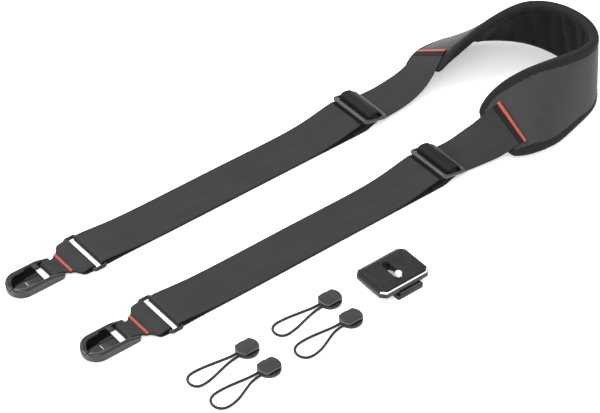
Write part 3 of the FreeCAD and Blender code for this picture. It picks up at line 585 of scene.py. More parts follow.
WEBBING = twill_webbing("strap_webbing", grey(0.014), grey(0.022))
# Darker copy of the strap webbing: painted shade on the webbing over the slider bars and on the leads'
# folded ends.
SHADED_WEBBING = twill_webbing("webbing_painted_shade", grey(0.005), grey(0.008))
PANEL = woven("panel_cloth", grey(0.019), grey(0.027), 0.0007, 0.00006, 0.6, 0.02)
LINING = woven("lining_cloth", grey(0.002), grey(0.005), 0.0012, 0.0002, 0.85, 0.0)
BINDING = woven("binding_tape", grey(0.004), grey(0.009), 0.0009, 0.00015, 0.8, 0.0)
FOAM_MATERIAL = foam()
CORAL = thread("coral_thread", (0.24, 0.038, 0.025), (0.38, 0.08, 0.055))
DARK_THREAD = thread("dark_thread", grey(0.006), grey(0.015))
BRAID = woven("braided_cord", grey(0.008), grey(0.024), 0.0009, 0.0002, 0.6, 0.05)
SLIDER_PLASTIC = moulded("slider_plastic", grey(0.022), grey(0.034), 0.25)
HOUSING_PLASTIC = moulded("housing_plastic", grey(0.002), grey(0.005), 0.16, specular=0.45)
TONGUE_PLASTIC = moulded("tongue_plastic", grey(0.004), grey(0.007), 0.3)
PUCK_PLASTIC = moulded("puck_plastic", grey(0.006), grey(0.013), 0.3, 0.00006)
# Much lighter copy of the puck plastic: painted highlight for the glint along the caps' rounded edges.
PUCK_HIGHLIGHT = moulded("puck_painted_highlight", grey(0.05), grey(0.11), 0.3)
RING_PAINT = moulded("ring_paint", grey(0.005), grey(0.009), 0.18)
ANODISED = anodised()
# Bright metal for the plate's near-side bevel faces: painted highlight where that edge catches the
# light.
BEVEL_HIGHLIGHT = brushed("bevel_painted_highlight", grey(0.7), grey(0.85), 0.18, (1, 8, 8))
STEEL = brushed("screw_steel", grey(0.6), grey(0.78), 0.25, (1, 1, 6))
GRIP = rubber_grip()


# ---- bands of webbing


def strap_section(half, thick):
    """A strap's cross-section as (across, out) points, with beaded selvedges."""
    deep = thick / 2
    edge = min(1.6, half * 0.12)
    inner = half - edge
    top = [(-inner + inner * i / 5, deep * 0.93) for i in range(11)]
    bead = [(half - 0.45 * edge, deep), (half, deep * 0.45)]
    right = bead + [(half, -deep * 0.45), (half - 0.45 * edge, -deep)]
    bottom = [(v, -n) for v, n in top[::-1]]
    left = [(-v, n) for v, n in right[::-1]]
    return top + right + bottom + left


def strap_rings(line, half_width, thick, closed=False):
    """Rings and cloth coordinates for a strap along an x-z line centred on y = 0."""
    line = np.array(line, float)
    count = len(line)
    rings, uvs = [], []
    travel = 0.0
    for i, point in enumerate(line):
        before = line[i - 1] if (i or closed) else point
        after = line[(i + 1) % count] if (i < count - 1 or closed) else point
        heading = after - before
        heading = heading / np.linalg.norm(heading)
        normal = np.array([-heading[1], heading[0]])
        if i:
            travel += np.linalg.norm(point - line[i - 1])
        half = half_width(point[0]) if callable(half_width) else half_width
        section = strap_section(half, thick)
        rings.append([(point[0] + normal[0] * n, v, point[1] + normal[1] * n) for v, n in section])
        uvs.append([(travel * MM, v * MM) for v, n in section])
    return rings, uvs


def strap(name, line, side, half_width=WEB_WIDTH / 2, closed=False, thick=WEB_THICK - 0.1,
          material=WEBBING):
    rings, uvs = strap_rings(line, half_width, thick, closed)
    return loft(name, rings, material, uvs, closed, side, 50)


def from_slider(u, w):
    x = SLIDER_X + u * math.cos(SLIDER_TILT) + w * math.sin(SLIDER_TILT)
    return (x, SLIDER_Z - u * math.sin(SLIDER_TILT) + w * math.cos(SLIDER_TILT))


UNDER = -(SLIDER_THICK / 2 + WEB_AIR + WEB_THICK / 2)
INNER = -UNDER
OUTER = INNER + WEB_THICK + WEB_AIR + 0.15
SLIDER_EXIT = SLIDER_LONG / 2 + 2.5


def wrap_line():
    """Over the middle bar and under both end bars."""
    bar = SLIDER_LONG / 2 - END_BAR - 1
    rise = CENTRE_BAR / 2 + 2 * (WEB_THICK + WEB_AIR) + 1.1
    half = [
        (SLIDER_EXIT, UNDER),
        (bar + 2, UNDER),
        (bar - 0.6, UNDER + 0.5),
        (rise + 0.2, -0.6),
        (rise - 0.2, OUTER - 1.4),
        (rise - 1.2, OUTER + 0.3),
        (rise - 3.4, OUTER + 1.3),
    ]
    line = half + [(0, OUTER + 1.8)] + [(-u, w) for u, w in half[::-1]]
    return resample([from_slider(u, w) for u, w in line], 0.8)


def tail_line():
    """The strap's own end: up from the table, round the middle bar, back onto itself."""
    join_x = from_slider(-SLIDER_EXIT, UNDER)[0]
    reach = CENTRE_BAR / 2 + WEB_AIR + WEB_THICK
    low = WEB_THICK / 2
    top = 1.5 * WEB_THICK + LAYER_GAP
    loop = [(reach, -1.2), (reach, INNER - 1.5), (reach - 1.5, INNER)]
    loop += [(1.5 - reach, INNER), (-reach, INNER - 1.5), (-reach, -1.6)]
    rise = [(join_x, low), (join_x + 9, low + 0.8), (join_x + 17, 4.4), (join_x + 21.2, 6)]
    back = [(join_x + 6.6, 4.5), (join_x - 1, 3.0), (join_x - 8, top + 0.1)]
    return resample(rise + [from_slider(u, w) for u, w in loop] + back, 0.8)


def loop_line():
    """On top from the slider to the ring, round its bar, and back underneath."""
    join_x, join_z = from_slider(-SLIDER_EXIT, UNDER)
    low = WEB_THICK / 2
    top = 1.5 * WEB_THICK + LAYER_GAP
    drop = join_z - top
    join_x -= JOIN_GAP
    falling = [
        (join_x, join_z + 0.08),
        (join_x - 12, top + 0.76 * drop),
        (join_x - 28, top + 0.4 * drop),
        (join_x - 46, top + 0.12 * drop),
        (join_x - 66, top),
        (join_x - 120, top),
        (join_x - 180, top),
    ]
    ring = (RING_HALF_X, RING_Z)
    lift = ring[1] + FOLD - top
    rising = [(ring[0] + 70, top), (ring[0] + 38, top + 0.25 * lift), (ring[0] + 14, top + 0.8 * lift)]
    fold = arc(ring, FOLD, 90, 270, 14)
    under = [(ring[0] + 12, low + 0.05), (ring[0] + 60, low), (ring[0] + 150, low), (join_x - 60, low)]
    points = falling + rising + fold + under + [(join_x, low)]
    return adaptive(points)


def adaptive(points):
    """A smooth curve through the points, sampled closely where they lie close."""
    knots = chord_knots(points)
    curve = Spline(knots, points)
    places = []
    for start, end in zip(knots, knots[1:]):
        steps = max(1, int(math.ceil((end - start) / 4)))
        places += [curve.value(start + (end - start) * i / steps) for i in range(steps)]
    return np.array(places + [curve.value(knots[-1])])


def make_slider_webbing(side):
    slider, strap_body = side + "_slider", side + "_strap"
    # The webbing over the slider bars uses the darker webbing copy: painted shade.
    wrap = strap(side + "_wrap", wrap_line(), side, material=SHADED_WEBBING)
    tail = strap(side + "_tail", tail_line(), side, thick=WEB_THICK - 0.25)
    folded = ((wrap, "_slider_webbing", wrap_line()), (tail, "_webbing_tail", tail_line()))
    for piece, node, line in folded:
        claim(piece, slider, "webbing", side + node)
    line = loop_line()
    loop = strap(side + "_loop", line, side)
    join_x = from_slider(-SLIDER_EXIT, UNDER)[0]
    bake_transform(loop)
    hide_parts(side + "_webbing_loop")
    make_tail_stitching(side, join_x)


# ---- stitches


def stitch_mesh(name, stitches, radius, material, side="right"):
    """Thread stitches as small arched capsules; each is start, end and up, in millimetres."""
    verts, faces = [], []
    around = 6
    profile = (
        (0.0, 0.35, -0.5),
        (0.14, 0.9, 0.1),
        (0.5, 1.0, 0.35),
        (0.86, 0.9, 0.1),
        (1.0, 0.35, -0.5),
    )
    for start, end, up in stitches:
        start, end, up = (np.array(p, float) for p in (start, end, up))
        along = end - start
        sideways = np.cross(along, up)
        sideways /= np.linalg.norm(sideways)
        first = len(verts)
        for share, width, height in profile:
            centre = start + along * share + up * radius * height
            for k in range(around):
                turn = 2 * math.pi * k / around
                verts.append(centre + radius * width * (math.cos(turn) * sideways + math.sin(turn) * up))
        for ring in range(len(profile) - 1):
            for k in range(around):
                a = first + ring * around + k
                b = first + ring * around + (k + 1) % around
                faces.append((a, b, b + around, a + around))
        faces.append(tuple(range(first, first + around))[::-1])
        faces.append(tuple(range(first + around * (len(profile) - 1), first + around * len(profile))))
    return mesh_piece(name, to_frame(verts, side), faces, material, angle=60)


def satin(place, half, width, pitch=0.5):
    """A bar tack's threads: place(along, across) gives a point and the way up."""
    stitches = []
    count = int(2 * half / pitch)
    for i in range(count + 1):
        across = -half + 2 * half * i / count
        reach = width / 2 + rng.uniform(-0.12, 0.12)
        lean = rng.uniform(-0.12, 0.12) + 0.12
        start, up = place(-reach, across - lean)
        end, up = place(reach, across + lean)
        stitches.append((start, end, up))
    return stitches


def make_tail_stitching(side, join_x):
    level = 2 * WEB_THICK + LAYER_GAP + 0.25

    def place(along, across):
        return (join_x - 5 + along, across, level), (0, 0, 1)

    stitches = satin(place, WEB_WIDTH / 2 - 2.5, 2.2)
    tack = stitch_mesh(side + "_tail_stitches", stitches, 0.3, DARK_THREAD, side)
    claim(tack, side + "_slider", "bartack_thread", side + "_tail_bartack")


# ---- ring, tab, housing


def sides_of(heading):
    """Level sideways and upward directions square to a heading."""
    heading = heading / np.linalg.norm(heading)
    sideways = np.cross(heading, np.array([0, 0, 1.0]))
    sideways /= np.linalg.norm(sideways)
    return sideways, np.cross(sideways, heading)


def tube_rings(line, radius, around=20, flat=False):
    """Round rings along a closed or open line of points."""
    line = np.array(line, float)
    count = len(line)
    rings = []
    for i, point in enumerate(line):
        if flat:
            before, after = line[i - 1], line[(i + 1) % count]
        else:
            before, after = line[max(i - 1, 0)], line[min(i + 1, count - 1)]
        sideways, lift = sides_of(after - before)
        turns = [2 * math.pi * k / around for k in range(around)]
        rings.append([point + radius * (math.cos(t) * sideways + math.sin(t) * lift) for t in turns])
    return rings


def make_ring(side):
    plan = rounded(RING_HALF_X, RING_HALF_Y, RING_CORNER, 8)
    line = [(x, y, RING_Z) for x, y in plan]
    rings = tube_rings(line, RING_BAR, flat=True)
    ring = loft(side + "_ring_bar", rings, RING_PAINT, closed=True, side=side)
    claim(ring, side + "_ring_link", "ring_metal", side + "_ring")


def tab_half(x):
    """Half the tab's width: the webbing's at the ring, then an S curve to the tongue."""
    shoulder = -RING_HALF_X - 9
    waist = (SEAM_START + SEAM_END) / 2
    if x > shoulder:
        return WEB_WIDTH / 2
    if x > waist:
        return TAB_WAIST + (WEB_WIDTH / 2 - TAB_WAIST) * smooth_step((x - waist) / (shoulder - waist))
    narrow = CROSS_X + 9.5
    return TAB_TONGUE + (TAB_WAIST - TAB_TONGUE) * smooth_step((x - narrow) / (waist - narrow))


def tab_line():
    """Closed line of the sewn tab: round the ring's bar, sewn, round the housing's bar."""
    seam_z = (RING_Z + CROSS_Z) / 2
    apart = WEB_THICK / 2 + 0.02
    ring_fold = arc((-RING_HALF_X, RING_Z), FOLD, -90, 90, 12)
    cross_fold = arc((CROSS_X, CROSS_Z), CROSS_BAR + WEB_AIR + WEB_THICK / 2, 90, 270, 12)
    seam = [SEAM_START, (SEAM_START + SEAM_END) / 2, SEAM_END]
    top = [(x, seam_z + apart) for x in seam]
    bottom = [(x, seam_z - apart) for x in seam[::-1]]
    ease = (SEAM_START - RING_HALF_X) / 2 - 1
    above = [(ease, RING_Z + 2.2)]
    below = [(ease, RING_Z - 2.4)]
    line = ring_fold + above + top + cross_fold + bottom + below
    return resample(line, 0.9, closed=True)


def make_tab(side):
    line = tab_line()
    tab = strap(side + "_sewn_tab", line, side, tab_half, closed=True, thick=WEB_THICK - 0.08)
    body = side + "_tab_link"
    claim(tab, body, "webbing", side + "_tab")
    seam_x = (SEAM_START + SEAM_END) / 2
    level = (RING_Z + CROSS_Z) / 2 + WEB_THICK

    def place(along, across):
        return (seam_x + along, across, level), (0, 0, 1)

    stitches = satin(place, TAB_WAIST - 0.6, 2.8)
    tack = stitch_mesh(side + "_tab_stitches", stitches, 0.34, CORAL, side)
    claim(tack, body, "bartack_thread", side + "_tab_bartack")


def rail_section(high, lip):
    """Wall of the housing as (inward, up) points: bulged outside, crowned top, lip inside."""
    crown = arc((2.1, high - 2.1), 2.1, 180, 62, 8)
    inner = HOUSING_WALL + lip
    under = high - LIP_THICK if lip > 0.2 else high - 1.6
    return [
        (1.1, 0.0),
        (0.35, 0.5),
        (0.0, 1.6),
        (0.0, high * 0.4),
        *crown,
        (inner - 0.5, high - 0.55),
        (inner, high - 1.0),
        (inner, under),
        (HOUSING_WALL, under - 0.3),
        (HOUSING_WALL, 1.2),
        (HOUSING_WALL, 0.3),
    ]


def rail_stations():
    """Along the U from one tail to the other: place, inward way and x."""
    straight = HOUSING_TAIL - TIP_CENTRE
    stations = []
    steps = 42
    for i in range(steps + 1):
        x = HOUSING_TAIL - straight * i / steps
        stations.append(((x, HOUSING_HALF), (0, -1), x))
    turns = 36
    for i in range(1, turns):
        turn = math.pi / 2 + math.pi * i / turns
        away = (math.cos(turn), math.sin(turn))
        place = (TIP_CENTRE + HOUSING_HALF * away[0], HOUSING_HALF * away[1])
        stations.append((place, (-away[0], -away[1]), place[0]))
    for place, _, x in stations[steps::-1]:
        stations.append(((place[0], -place[1]), (0, 1), x))
    return stations


def tip_share(place):
    """1 in the cord's notch at the middle of the tip, 0 away from it."""
    if place[0] > TIP_CENTRE:
        return 0.0
    return 1 - smooth_step((abs(place[1]) - 3.2) / 3.4)


def make_housing(side):
    rings = []
    for place, way, x in rail_stations():
        from_tail = HOUSING_TAIL - x
        high = HOUSING_HIGH - 3.2 * (1 - smooth_step(from_tail / 16))
        high -= TIP_NOTCH * tip_share(place)
        lip = LIP_INSET * smooth_step((LIP_X - x) / 1.2)
        slim = 0.55 + 0.45 * math.sqrt(smooth_step(from_tail / 2.2))
        section = rail_section(high, lip)
        mean_z = high / 2
        ring = []
        for inward, up in section:
            reach = HOUSING_WALL / 2 + (inward - HOUSING_WALL / 2) * slim
            level = mean_z + (up - mean_z) * slim
            ring.append((place[0] + way[0] * reach, place[1] + way[1] * reach, level))
        rings.append(ring)
    rail = loft(side + "_rail", rings, HOUSING_PLASTIC, side=side, angle=45)
    inside = HOUSING_HALF - HOUSING_WALL + 0.5
    slot_back = WINDOW_X - TONGUE_LONG - 2 * TONGUE_GAP - 0.6
    slot_half = TONGUE_HALF + TONGUE_GAP
    outline = [(WINDOW_X, slot_half), (WINDOW_X, inside)]
    outline += arc((TIP_CENTRE, 0), inside, 90, 270, 32)
    outline += [(WINDOW_X, -inside), (WINDOW_X, -slot_half)]
    outline += [(slot_back, -slot_half), (slot_back, slot_half)]
    floor = slab(side + "_floor", [outline], 0.0, HOUSING_FLOOR, 0.3, HOUSING_PLASTIC, side=side)
    bar_line = [(CROSS_X, y, CROSS_Z) for y in np.linspace(-HOUSING_HALF + 1, HOUSING_HALF - 1, 9)]
    bar = loft(side + "_bar", tube_rings(bar_line, CROSS_BAR), HOUSING_PLASTIC, side=side)
    housing = join(side + "_housing_shell", [rail, floor, bar])
    claim(housing, side + "_housing", "housing_plastic", side + "_link_housing")
    make_tongue(side)


def make_tongue(side):
    centre = (WINDOW_X - TONGUE_LONG / 2, 0.0)
    plate = rounded(TONGUE_LONG / 2 - 0.05, TONGUE_HALF, 0.9, 5)
    leaf = slab(side + "_leaf", [plate], TONGUE_GAP, TONGUE_GAP + 1.6, 0.3, TONGUE_PLASTIC, centre, side)
    ridge = rounded(0.8, TONGUE_HALF - 0.1, 0.5, 4)
    catch = slab(side + "_catch", [ridge], 1.2, 2.7, 0.35, TONGUE_PLASTIC, (WINDOW_X - 0.9, 0.0), side)
    tongue = join(side + "_spring_tongue", [leaf, catch])
    claim(tongue, side + "_tongue", "tongue_plastic", side + "_lock_tongue")


# ---- slider


def make_slider(side):
    """Three-bar frame with rounded bars, tilted where the strap lifts it."""
    slot_long = (SLIDER_LONG - 2 * END_BAR - CENTRE_BAR) / 4
    slot_half = SLIDER_WIDE / 2 - SIDE_BAR
    shift = CENTRE_BAR / 2 + slot_long
    outlines = [rounded(SLIDER_LONG / 2, SLIDER_WIDE / 2, 4.5, 10)]
    outlines += [rounded(slot_long, slot_half, 1.6, 6, (sign * shift, 0)) for sign in (-1, 1)]
    half = SLIDER_THICK / 2
    body = slab(side + "_three_bar", outlines, -half, half, 1.3, SLIDER_PLASTIC)
    centre = Vector(to_frame([(SLIDER_X, 0, SLIDER_Z)], side)[0])
    turn = Matrix.Translation(centre) @ Matrix.Rotation(SLIDER_TILT, 4, "Y") @ Matrix.Translation(-SLIT)
    body.data.transform(turn)
    claim(body, side + "_slider", "buckle_plastic", side + "_slider_frame")


# ---- shoulder pad


def pad_curves():
    end_x, end_z = from_slider(SLIDER_EXIT, UNDER)
    end_x += JOIN_GAP
    places = [(end_x, 0, end_z)] + [p[:3] for p in RIGHT_LEAD]
    angles = [LEAD_END] + [p[3:] for p in RIGHT_LEAD]
    for x, y, lean, turn in PAD_LINE:
        angle = math.radians(lean)
        places.append((x, y, PAD_HALF * math.sin(angle) + PAD_DEPTH * math.cos(angle) + PAD_LIFT))
        angles.append((lean, turn))
    places += [p[:3] for p in LEFT_LEAD]
    angles += [p[3:] for p in LEFT_LEAD] + [LEAD_END]
    left = SHIFT["left"] / MM
    places.append((end_x + left.x, left.y, end_z))
    knots = chord_knots(places)
    ahead = np.array([1.0, 0, 0])
    first = len(RIGHT_LEAD) + 1
    last = first + len(PAD_LINE) - 1
    hems = knots[first] - PAD_OVERHANG, knots[last] + PAD_OVERHANG
    return Spline(knots, places, (ahead, -ahead)), Spline(knots, angles), *hems, knots[-1]


CENTRE, TILT, HEM_START, HEM_END, BAND_END = pad_curves()


def band_frame(distance):
    """The band's middle, width direction and outward direction."""
    point = CENTRE.value(distance)
    along = CENTRE.slope(distance)
    lean, turn = np.radians(TILT.value(distance))
    across_x = -along[1] * math.cos(turn) - along[0] * math.sin(turn)
    across_y = along[0] * math.cos(turn) - along[1] * math.sin(turn)
    flat = np.array([across_x, across_y, 0])
    flat /= np.linalg.norm(flat)
    up = np.array([0, 0, 1.0])
    across = flat * math.cos(lean) + up * math.sin(lean)
    outward = up * math.cos(lean) - flat * math.sin(lean)
    return point, across, outward


def hem_sink(inward):
    """How far the pad lies under the webbing that is sewn onto it."""
    return PAD_SINK * (1 - smooth_step(inward / SINK_REACH))


def pad_frame(distance):
    """The band's frame, lowered where the webbing lies on the pad."""
    point, across, outward = band_frame(distance)
    inward = min(distance - HEM_START, HEM_END - distance)
    return point - outward * hem_sink(inward), across, outward


def band_point(distance, v, n):
    point, across, outward = pad_frame(distance)
    return point + across * v + outward * n


def pad_half(distance):
    share = min((distance - HEM_START) / RIGHT_END, (HEM_END - distance) / LEFT_END)
    share = min(max(share, 0.0), 1.0)
    swell = math.sqrt(1 - (1 - share) ** 2)
    return PAD_END_HALF + (PAD_HALF - PAD_END_HALF) * swell


def hem_share(distance):
    """0 at either hem, 1 where the pad has its full thickness."""
    return smooth_step(min(distance - HEM_START, HEM_END - distance) / HEM_EASE)


def ripple(distance, v, amount):
    """Soft unevenness of sewn cloth."""
    waves = math.sin(distance / 9.7 + v / 13) + 0.6 * math.sin(distance / 5.3 - v / 21 + 1.7)
    return amount * waves


def pad_rows(step=2.5):
    """Distances along the pad, closer together in the rounded ends."""
    length = HEM_END - HEM_START
    count = int(length / step)
    rows = []
    for i in range(count + 1):
        share = i / count
        eased = share - math.sin(2 * math.pi * share) * 0.055
        rows.append(HEM_START + length * eased)
    return rows


def pad_skin(name, out_height, in_height, material, inset):
    """A closed padded layer between two heights given over (distance, share, across)."""
    rings, uvs = [], []
    shares = [-1 + k / 20 for k in range(41)]
    for distance in pad_rows():
        if not HEM_START + inset <= distance <= HEM_END - inset:
            continue
        half = pad_half(distance) - 1.2
        frame_here = pad_frame(distance)
        ring, coordinates = [], []
        for heights, order in ((out_height, shares), (in_height, shares[::-1])):
            for share in order:
                v = share * half
                n = heights(distance, share, v)
                ring.append(frame_here[0] + frame_here[1] * v + frame_here[2] * n)
                coordinates.append(((distance - HEM_START) * MM, v * MM))
        rings.append(ring)
        uvs.append(coordinates)
    return loft(name, rings, material, uvs, angle=60)


def panel_out(distance, share, v):
    base = 1.1 + PAD_SWELL * hem_share(distance)
    crown = 0.9 * hem_share(distance) * (1 - share ** 4)
    return base + crown + ripple(distance, v, 0.12)


def even(base, growth):
    """A height that is the same across the pad and grows away from the hems."""
    return lambda distance, *across: base + growth * hem_share(distance)


def lining_in(distance, share, v):
    """Channel-quilted: bulges between seams that run across the band."""
    thick = hem_share(distance)
    phase = (distance - HEM_START) / RIB_PITCH
    bulge = abs(math.sin(math.pi * phase + 0.25 * math.sin(phase * 2.3 + v / 17))) ** 0.7
    inside = smooth_step((1 - abs(share)) * pad_half(distance) / 9)
    return -1.3 - 1.4 * thick - 3.6 * thick * bulge * inside - ripple(distance, v, 0.3)


def outline_stations():
    """The pad's edge as closed (distance, across) points, with the inward way at each."""
    rows = pad_rows(2.0)
    upper = [(row, pad_half(row)) for row in rows]
    cross = [PAD_END_HALF * (1 - 2 * i / 16) for i in range(1, 16)]
    points = upper + [(HEM_END + 0.5, v) for v in cross]
    points += [(row, -v) for row, v in upper[::-1]] + [(HEM_START - 0.5, -v) for v in cross]
    points = np.array(points)
    gaps = np.linalg.norm(np.roll(points, -1, axis=0) - points, axis=1)
    points = points[gaps > 0.25]
    ways = []
    for i in range(len(points)):
        heading = points[(i + 1) % len(points)] - points[i - 1]
        heading /= np.linalg.norm(heading)
        ways.append((heading[1], -heading[0]))
    return points, ways


def binding_section(thick, pucker):
    """Tape folded over the edge as (inward, out) points: outer skin, then inner skin."""
    top = 1.7 + PAD_SWELL * thick
    low = -1.7 - 2.7 * thick
    skin = 0.7
    outer = [
        (TAPE, top - 0.15 + pucker),
        (TAPE * 0.7, top + 0.15 + pucker * 0.6),
        (TAPE * 0.4, top + 0.25),
        (1.6, top - 0.1),
        (0.5, top - 0.9),
        (0.0, (top + low) / 2),
        (0.5, low + 0.9),
        (1.6, low + 0.1),
        (TAPE * 0.4, low - 0.25),
        (TAPE * 0.7, low - 0.15 - pucker * 0.6),
        (TAPE, low + 0.15 - pucker),
    ]
    inner = [(max(d, skin * 1.3) if 0 < i < len(outer) - 1 else d, n - math.copysign(skin, n))
             for i, (d, n) in enumerate(outer)]
    inner[len(outer) // 2] = (skin * 1.3, (top + low) / 2)
    return outer + inner[::-1]


def make_binding():
    points, ways = outline_stations()
    rings, uvs = [], []
    travel = 0.0
    for i, ((distance, v), way) in enumerate(zip(points, ways)):
        if i:
            travel += float(np.linalg.norm(points[i] - points[i - 1]))
        thick = hem_share(distance)
        pucker = 0.16 * math.sin(2 * math.pi * travel / 6.1) * math.sin(travel / 37)
        section = binding_section(thick, pucker)
        from_hem = min(abs(distance - HEM_START), abs(HEM_END - distance))
        width = 0.58 + 0.42 * smooth_step(from_hem / 8)
        ring = [band_point(distance + way[0] * d * width, v + way[1] * d * width, n) for d, n in section]
        rings.append(ring)
        uvs.append([(travel * MM, k * 0.0012) for k in range(len(section))])
    tape = loft("pad_binding", rings, BINDING, uvs, closed=True, angle=60)
    claim(tape, "root", "pad_binding", "pad_binding_upper", "pad_binding_lower")
    make_binding_stitches(points, ways)


def make_binding_stitches(points, ways):
    """Lockstitch along the tape's inner edge, front and back."""
    stitches = []
    for i in range(0, len(points) - 1, 2):
        (distance, v), way = points[i], ways[i]
        (ahead, ahead_v), ahead_way = points[i + 1], ways[i + 1]
        from_hem = min(distance - HEM_START, HEM_END - distance)
        if from_hem < 9:
            continue
        thick = hem_share(distance)
        inward = TAPE - 1.4
        outward = band_frame(distance)[2]
        for sign, level in ((1, 1.95 + PAD_SWELL * thick), (-1, -1.95 - 2.7 * thick)):
            start = band_point(distance + way[0] * inward, v + way[1] * inward, level)
            end = band_point(ahead + ahead_way[0] * inward, ahead_v + ahead_way[1] * inward, level)
            stitches.append((start, start + (end - start) * 1.1, outward * sign))
    seam = stitch_mesh("pad_edge_stitches", stitches, 0.22, DARK_THREAD)
    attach(seam, "root")


def make_pad():
    layers = (
        ("pad_panel", panel_out, even(0.85, 1.4), PANEL, "pad_outer_panel", 0.0),
        ("pad_lining", even(-0.85, -1.4), lining_in, LINING, "pad_inner_lining", 0.0),
        ("pad_foam", even(0.8, 1.2), even(-0.8, -1.2), FOAM_MATERIAL, "pad_foam_core", 10.0),
    )
    for name, out_height, in_height, material, node, inset in layers:
        piece = pad_skin(name, out_height, in_height, material, inset)
        claim(piece, "root", name, node)
    make_binding()
    for side, hem, sign in (("right", HEM_START, 1), ("left", HEM_END, -1)):
        make_hem(side, hem, sign)
        make_lead(side)


def make_hem(side, hem, sign):
    """Coral bar tack across the end of the webbing."""
    inward = SEWN_END - 1.7
    level = lead_height(inward) + WEB_THICK / 2 + FOLD_STEP + 0.1

    def place(along, across):
        point, width, outward = band_frame(hem + sign * (inward + along))
        return point + width * across + outward * level, outward

    stitches = satin(place, WEB_WIDTH / 2 + 0.2, 3.0)
    tack = stitch_mesh(side + "_pad_stitches", stitches, 0.4, CORAL)
    claim(tack, "root", "bartack_thread", side + "_pad_bartack")


def lead_height(inward):
    """The webbing's height over the band's middle; inward is the distance past the hem."""
    if inward < 0:
        return (LEAD_RISE - PAD_SINK) * smooth_step(inward / LEAD_EASE + 1)
    return LEAD_RISE - hem_sink(inward) + PAD_SWELL * smooth_step(inward / HEM_EASE)


def lead_section(inward):
    """Webbing, folded double over its last few millimetres."""
    half = WEB_WIDTH / 2 - 0.4
    height = lead_height(inward)
    folded = smooth_step((inward - SEWN_END + HEM_FOLD) / 0.8)
    section = strap_section(half, WEB_THICK - 0.1)
    return [(v, n + height + (FOLD_STEP * folded if n > 0 else 0.0)) for v, n in section]


def make_lead(side):
    """Webbing from a slider to the pad, sewn onto the outer panel."""
    right = side == "right"
    hem, slider_end = (HEM_START, 0.0) if right else (HEM_END, BAND_END)
    span = abs(hem - slider_end)
    steps = [-span + 2 * i for i in range(int((span + SEWN_END - HEM_FOLD - 1) / 2))]
    steps += [SEWN_END - HEM_FOLD - 0.3 + 0.3 * i for i in range(5)]
    steps += [SEWN_END - HEM_FOLD + 2.4, SEWN_END - 1.2, SEWN_END - 0.4, SEWN_END]
    rings, uvs = [], []
    for inward in steps:
        distance = hem + inward if right else hem - inward
        frame_here = band_frame(distance)
        section = lead_section(inward)
        rings.append([frame_here[0] + frame_here[1] * v + frame_here[2] * n for v, n in section])
        uvs.append([(distance * MM, v * MM) for v, n in section])
    lead = loft(side + "_lead", rings, WEBBING, uvs, angle=50)
    # Faces from the fold onward get the darker webbing copy: painted shade along the hem end.
    plain = sum(1 for inward in steps if inward < SEWN_END - HEM_FOLD) * len(rings[0])
    paint(lead, SHADED_WEBBING, lead.data.polygons[plain:])
    near_slider = to_frame([CENTRE.value(slider_end)])[0]
    near_pad = to_frame([CENTRE.value(hem)])[0]
    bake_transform(lead)
    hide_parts(side + "_pad_webbing")


# ---- cord anchors


def puck_centre(name):
    return (middle(name + "_anchor_cap") - SLIT) / MM


def make_puck(name):
    centre = puck_centre(name)[:2]
    base = slab(name + "_disc", [circle(PUCK)], 0, PUCK_BASE, 0.9, PUCK_PLASTIC, centre)
    neck_top = PUCK_BASE + PUCK_NECK
    neck = slab(name + "_neck", [circle(7.4)], PUCK_BASE - 0.3, neck_top + 0.2, 0.05, PUCK_PLASTIC,
                centre)
    lower = join(name + "_puck_base", [base, neck])
    flat_turn = math.degrees(math.asin(PUCK_FLAT / PUCK))
    outline = arc((0, 0), PUCK, -flat_turn, flat_turn, 24)
    outline += arc((0, 0), PUCK, 180 - flat_turn, 180 + flat_turn, 24)
    cap = slab(name + "_puck_cap", [outline], neck_top, neck_top + PUCK_CAP, 0.7, PUCK_PLASTIC, centre)
    # The cap's sloping edge faces get the lighter copy: painted highlight.
    paint(cap, PUCK_HIGHLIGHT, [face for face in cap.data.polygons if 0.3 < face.normal.z < 0.97])
    for piece, node in ((lower, "_anchor_base"), (cap, "_anchor_cap")):
        claim(piece, name + "_anchor", "puck_plastic", name + node)


def cord_points(name, route):
    """Points a short step apart on the NURBS spline that has the route as control points."""
    centre = puck_centre(name)
    curve = bpy.data.curves.new(name + "_route", "CURVE")
    curve.dimensions = "3D"
    curve.resolution_u = 24
    path = curve.splines.new("NURBS")
    path.points.add(len(route) - 1)
    for point, (x, y) in zip(path.points, route):
        level = PUCK_BASE / 2 if x > -12 else CORD / 2 + 0.02
        point.co = (*to_frame([(centre.x + x, centre.y + y, level)])[0], 1)
    path.order_u = 3
    path.use_endpoint_u = True
    item = bpy.data.objects.new(name + "_route", curve)
    mesh = bpy.data.meshes.new_from_object(item)
    points = np.array([vertex.co for vertex in mesh.vertices], float)
    bpy.data.objects.remove(item)
    knots = chord_knots(points)
    count = int(knots[-1] / 0.0004)
    even = np.linspace(0, knots[-1], count + 1)
    return np.stack([np.interp(even, knots, points[:, k]) for k in range(3)], axis=1)


def make_cord(name, route):
    """Braided cord: a tube whose skin follows strands that cross over and under."""
    points = cord_points(name, route)
    rings, uvs = [], []
    travel = 0.0
    for i, point in enumerate(points):
        ahead = points[min(i + 1, len(points) - 1)]
        sideways, lift = sides_of(ahead - points[max(i - 1, 0)])
        if i:
            travel += np.linalg.norm(point - points[i - 1])
        twist = 2 * math.pi * travel / (BRAID_LAY * MM)
        ring, coordinates = [], []
        for k in range(CORD_SIDES):
            turn = 2 * math.pi * k / CORD_SIDES
            strand = BRAID_STRANDS / 2 * turn
            weave = math.cos(strand + twist) * math.cos(strand - twist)
            radius = CORD / 2 * MM * (0.95 + 0.05 * weave)
            ring.append(point + radius * (math.cos(turn) * sideways + math.sin(turn) * lift))
            coordinates.append((travel, turn * CORD / 2 * MM))
        rings.append(ring)
        uvs.append(coordinates)
    cord = skin(name + "_loop_cord", rings, BRAID, uvs, angle=60)
    claim(cord, name + "_anchor", "loop_cord", name + "_anchor_cord")


# ---- camera plate


